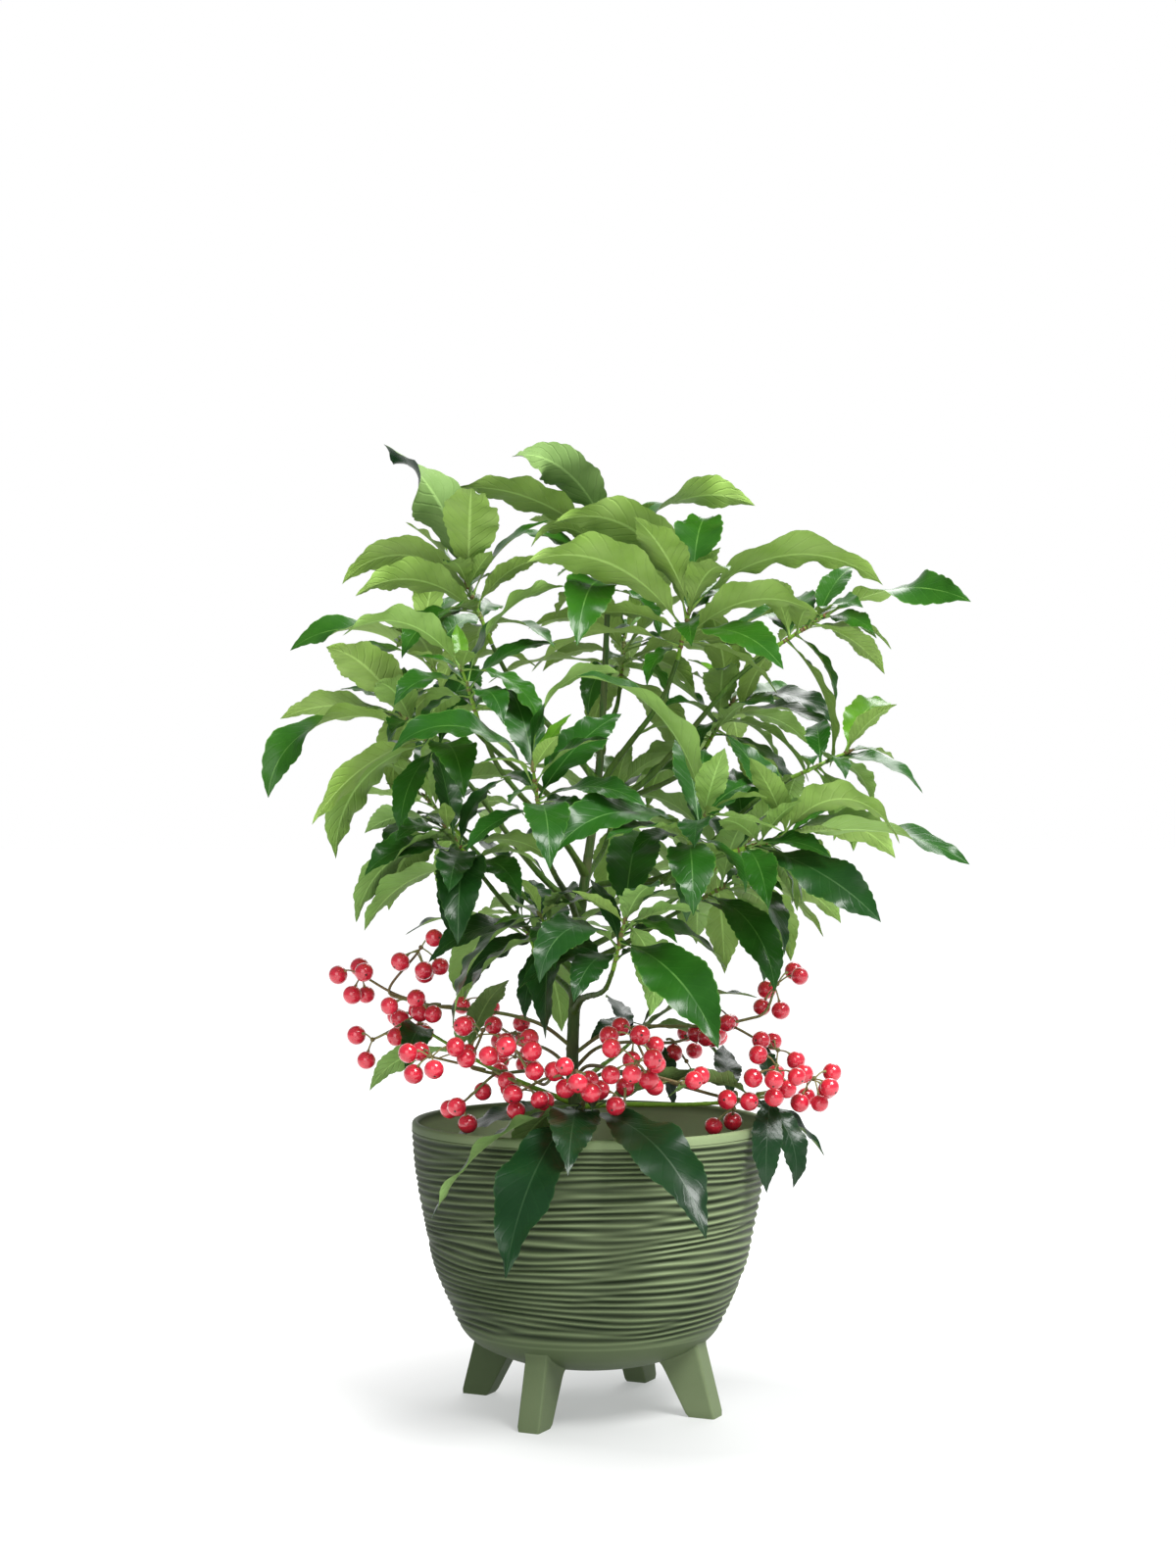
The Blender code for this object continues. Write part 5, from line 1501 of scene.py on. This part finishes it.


# %% [markdown]
# ## Leaf finishes
# A leaf's colour depends on its age, and as painted shade on how deep in the crown it hangs:
# young ones at the tips are yellow-green, those of the upper crown bright, the lower ones dark
# and bluish on both sides, partly for age and partly as painted shade. So there are five tints,
# each with a top, an underside and a rib. The side veins are read from the blade's own marks,
# which give the share across and along: a vein is a narrow band of a wave that runs out and
# forward.


# %% leaf tints
RIB_BAND = (0.016, 0.034)    # share across from the middle: all rib, none
LIT_MARGIN_BAND = (0.47, 0.5)      # share across from the middle: no painted light on the margin, all of it


def leaf_finish(name, colour, other, roughness, vein_depth, shine, coat=0.0, rib=None, edge=None):
    """A leaf surface: two close greens in clouds, side veins as relief and a paler line.

    Below, the midrib is a band of the rib's colour where the share across is near a half, and
    on top the margin is painted paler, as painted light that comes through the thin blade.
    """
    made, wire, shader, place = finish(name, roughness, Coat_Weight=coat, Coat_Roughness=0.2,
                                       Specular_IOR_Level=shine)
    marks = wire.node("ShaderNodeUVMap", {"uv_map": "place"})
    across = wire.node("ShaderNodeSeparateXYZ", {}, {"Vector": marks}, 0)
    along = wire.node("ShaderNodeSeparateXYZ", {}, {"Vector": marks}, 1)
    out = (across - 0.5).maths("ABSOLUTE", across - 0.5)
    wave = (along * 13.0 - out * 4.4).maths("FRACT", along * 13.0 - out * 4.4)
    vein = (wave - 0.5).maths("ABSOLUTE", wave - 0.5).clamp(0.0, 0.13)
    cloud = wire.noise(place, 55.0, 3.0).clamp(0.3, 0.7)
    tone = (vein * 0.12 + 0.88 * cloud).blend(other, colour)
    if rib:
        tone = out.clamp(*RIB_BAND).blend(rib, tone)
    # painted light: the margin on top is paler, as if light came through it
    if edge:
        tone = out.clamp(*LIT_MARGIN_BAND).blend(tone, edge)
    feed(shader, "Base Color", tone)
    feed(shader, "Roughness", roughness - 0.08 + 0.16 * wire.noise(place, 90.0, 2.0))
    relief(shader, vein, vein_depth)
    return made


def rib_finish(name, colour, other):
    """The midrib on top: paler than the blade, with a little of its green."""
    made, wire, shader, place = finish(name, 0.45)
    feed(shader, "Base Color", wire.noise(place, 120.0, 2.0).clamp(0.3, 0.7).blend(colour, other))
    return made


Tint = namedtuple("Tint", "top top_pale under under_pale rib")
# the lower tints are darker on both sides, partly for age and partly as painted shade deep in the crown
TINTS = {
    "young": Tint((0.070, 0.200, 0.012), (0.110, 0.265, 0.020), (0.240, 0.415, 0.078),
                  (0.320, 0.495, 0.125), (0.200, 0.350, 0.050)),
    "bright": Tint((0.014, 0.080, 0.004), (0.026, 0.112, 0.007), (0.236, 0.400, 0.070),
                   (0.318, 0.480, 0.128), (0.085, 0.220, 0.028)),
    "full": Tint((0.009, 0.058, 0.004), (0.016, 0.084, 0.007), (0.214, 0.386, 0.072),
                 (0.288, 0.474, 0.126), (0.060, 0.170, 0.024)),
    "deep": Tint((0.006, 0.037, 0.005), (0.010, 0.055, 0.008), (0.178, 0.336, 0.074),
                 (0.252, 0.424, 0.120), (0.036, 0.110, 0.020)),
    "old": Tint((0.004, 0.023, 0.006), (0.007, 0.036, 0.009), (0.136, 0.240, 0.064),
                (0.200, 0.318, 0.102), (0.016, 0.052, 0.014)),
}


def tint_finishes(name, tint):
    """Top, underside and rib of one tint."""
    return [leaf_finish(name + "_leaf_top", tint.top, tint.top_pale, 0.34, 0.00007, 0.2, 0.16,
                        edge=tint.rib),
            leaf_finish(name + "_leaf_under", tint.under, tint.under_pale, 0.62, 0.0002, 0.12,
                        rib=[min(1.35 * c, 0.7) for c in tint.under_pale]),
            rib_finish(name + "_leaf_rib", tint.rib, tint.top_pale)]


# %% leaves
def tint_of(spray, leaf, rule):
    """A leaf's tint: by its whorl's height, with some chance either way; the lower, the darker,
    partly for age and partly as painted shade.
    """
    height = leaf.root[2] + rule.uniform(-34, 34)
    if height > 352:
        return "bright"
    if height > 268:
        return "full"
    return "deep" if height > 196 else "old"


# leaves on the outline whose tint is given one by one: some for their age, some darker as
# painted shade and some paler as painted light
CHOSEN = {("right_front", 0): "young", ("right_front", 1): "young", ("right_front", 2): "young",
          ("right_front", 3): "full", ("right_front", 5): "deep", ("right_tip", 0): "young",
          ("right_tip", 1): "full", ("left_mid", 2): "bright", ("left_mid", 5): "bright",
          ("top_right", 4): "bright", ("low_left", 0): "deep", ("low_left", 1): "deep",
          ("top_left", 1): "old", ("top_centre", 0): "old"}

piles = {name: Pile() for name in TINTS}
held = {name: set() for name in TINTS}
for spray in SPRAYS:
    rule = random.Random(spray.name + " blades")
    for index, leaf in enumerate(leaves[spray.name]):
        tint = CHOSEN.get((spray.name, index), tint_of(spray, leaf, rule))
        part, marks = blade(leaf, rule)
        piles[tint].add(part, marks)
        held[tint].add("leaves_" + spray.name)
    for leaf in small[spray.name]:
        tint = "young" if rule.random() < 0.6 else "bright"
        part, marks = blade(leaf, rule)
        piles[tint].add(part, marks)
        held[tint].add("leaves_" + spray.name)
for name, pile in piles.items():
    pile.piece("leaves_" + name, tint_finishes(name, TINTS[name]), sorted(held[name]),
               "foliage", sharp=60)

# %% [markdown]
# ## Berries and their stalks
# A ripe coralberry is a glossy crimson ball ten millimetres across with a small dark dot where
# the flower was. Each ball is a ring profile from its stalk to the dot, turned to hang along
# its own stalk. The stalks bow a little and swell where they hold the fruit.

# %% fruit finishes
def berry_red():
    """Crimson skin: clear gloss over red that is a little lighter in clouds."""
    made, wire, shader, place = finish("berry_red", 0.25, Coat_Weight=1.0, Coat_Roughness=0.04,
                                       Specular_IOR_Level=0.35)
    cloud = wire.noise(place, 95.0, 2.0).clamp(0.3, 0.7)
    feed(shader, "Base Color", cloud.blend((0.52, 0.010, 0.030), (0.70, 0.026, 0.056)))
    return made


def dark_dot():
    made, wire, shader, place = finish("berry_dot", 0.6)
    feed(shader, "Base Color", wire.noise(place, 900.0).blend((0.02, 0.006, 0.004),
                                                              (0.09, 0.02, 0.015)))
    return made


pedicel_brown = bark("pedicel_brown", (0.160, 0.090, 0.045), (0.280, 0.190, 0.090),
                     (0.240, 0.260, 0.090), 0.5)
stalk_green = bark("stalk_green", (0.120, 0.150, 0.040), (0.220, 0.250, 0.080),
                   (0.160, 0.110, 0.050), 0.5)

# %% fruit
STALK_THICK = 1.05
fruit, stalk_pile, pedicels = Pile(), Pile(), Pile()
BERRY_ROWS, BERRY_SIDES = 11, 16
down = np.append(np.linspace(0.12, math.pi - 0.34, BERRY_ROWS - 1), math.pi - 0.13)
berry_profile = np.stack([np.sin(down), -np.cos(down) * 0.955], axis=1)
berry_slots = np.zeros((BERRY_ROWS - 1, BERRY_SIDES), int)
dot_fan = np.array([0] * BERRY_SIDES + [1] * BERRY_SIDES)
for cluster in CLUSTERS:
    rule = random.Random("fruit " + cluster.name)
    stalk = spline(stalks[cluster.name], 40)
    stalk_pile.add(tube(stalk, np.linspace(STALK_THICK, 0.75, 40), 8))
    for ray in rays[cluster.name]:
        bent = bow(ray[0], unit(stalk[-1] - stalk[-4]), ray[1], unit(ray[1] - ray[0]), 14)
        stalk_pile.add(tube(bent, np.linspace(0.75, 0.62, 14), 7))
        knot = ball_rings(5, 8) * 1.25
        stalk_pile.add(skin(knot + ray[1], ray[1] - (0, 0, 1.25), ray[1] + (0, 0, 1.25)))
    for place, knot in berries[cluster.name]:
        way = unit(place - knot)
        arrive = unit(way + (0, 0, -0.35))
        radius = BERRY * rule.uniform(0.92, 1.02)
        stem = bow(knot, unit(way + (0, 0, 0.3)), place - arrive * radius * 0.93, arrive, 12)
        pedicels.add(tube(stem, [0.42] * 8 + [0.44, 0.5, 0.72, 0.95], 6))
        side, up, along = [v[0] for v in frame_along(np.array([place, place + arrive]))]
        turn = np.linspace(0, TURN, BERRY_SIDES, endpoint=False)
        round_way = np.cos(turn)[:, None] * side + np.sin(turn)[:, None] * up
        rings = (berry_profile[:, :1, None] * round_way[None]
                 + berry_profile[:, 1:, None] * along) * radius + place
        part = skin(rings, place - along * radius * 0.955, place + along * radius * 0.93,
                    berry_slots)
        fruit.add(part[:4] + (dot_fan,))
BERRY_NODES = ["berries_" + c.name for c in CLUSTERS]
fruit.piece("berries", [berry_red(), dark_dot()], BERRY_NODES, "fruit")
stalk_pile.piece("berry_stalks", [stalk_green], BERRY_NODES, "green_bough")
pedicels.piece("berry_pedicels", [pedicel_brown], BERRY_NODES, "green_bough")
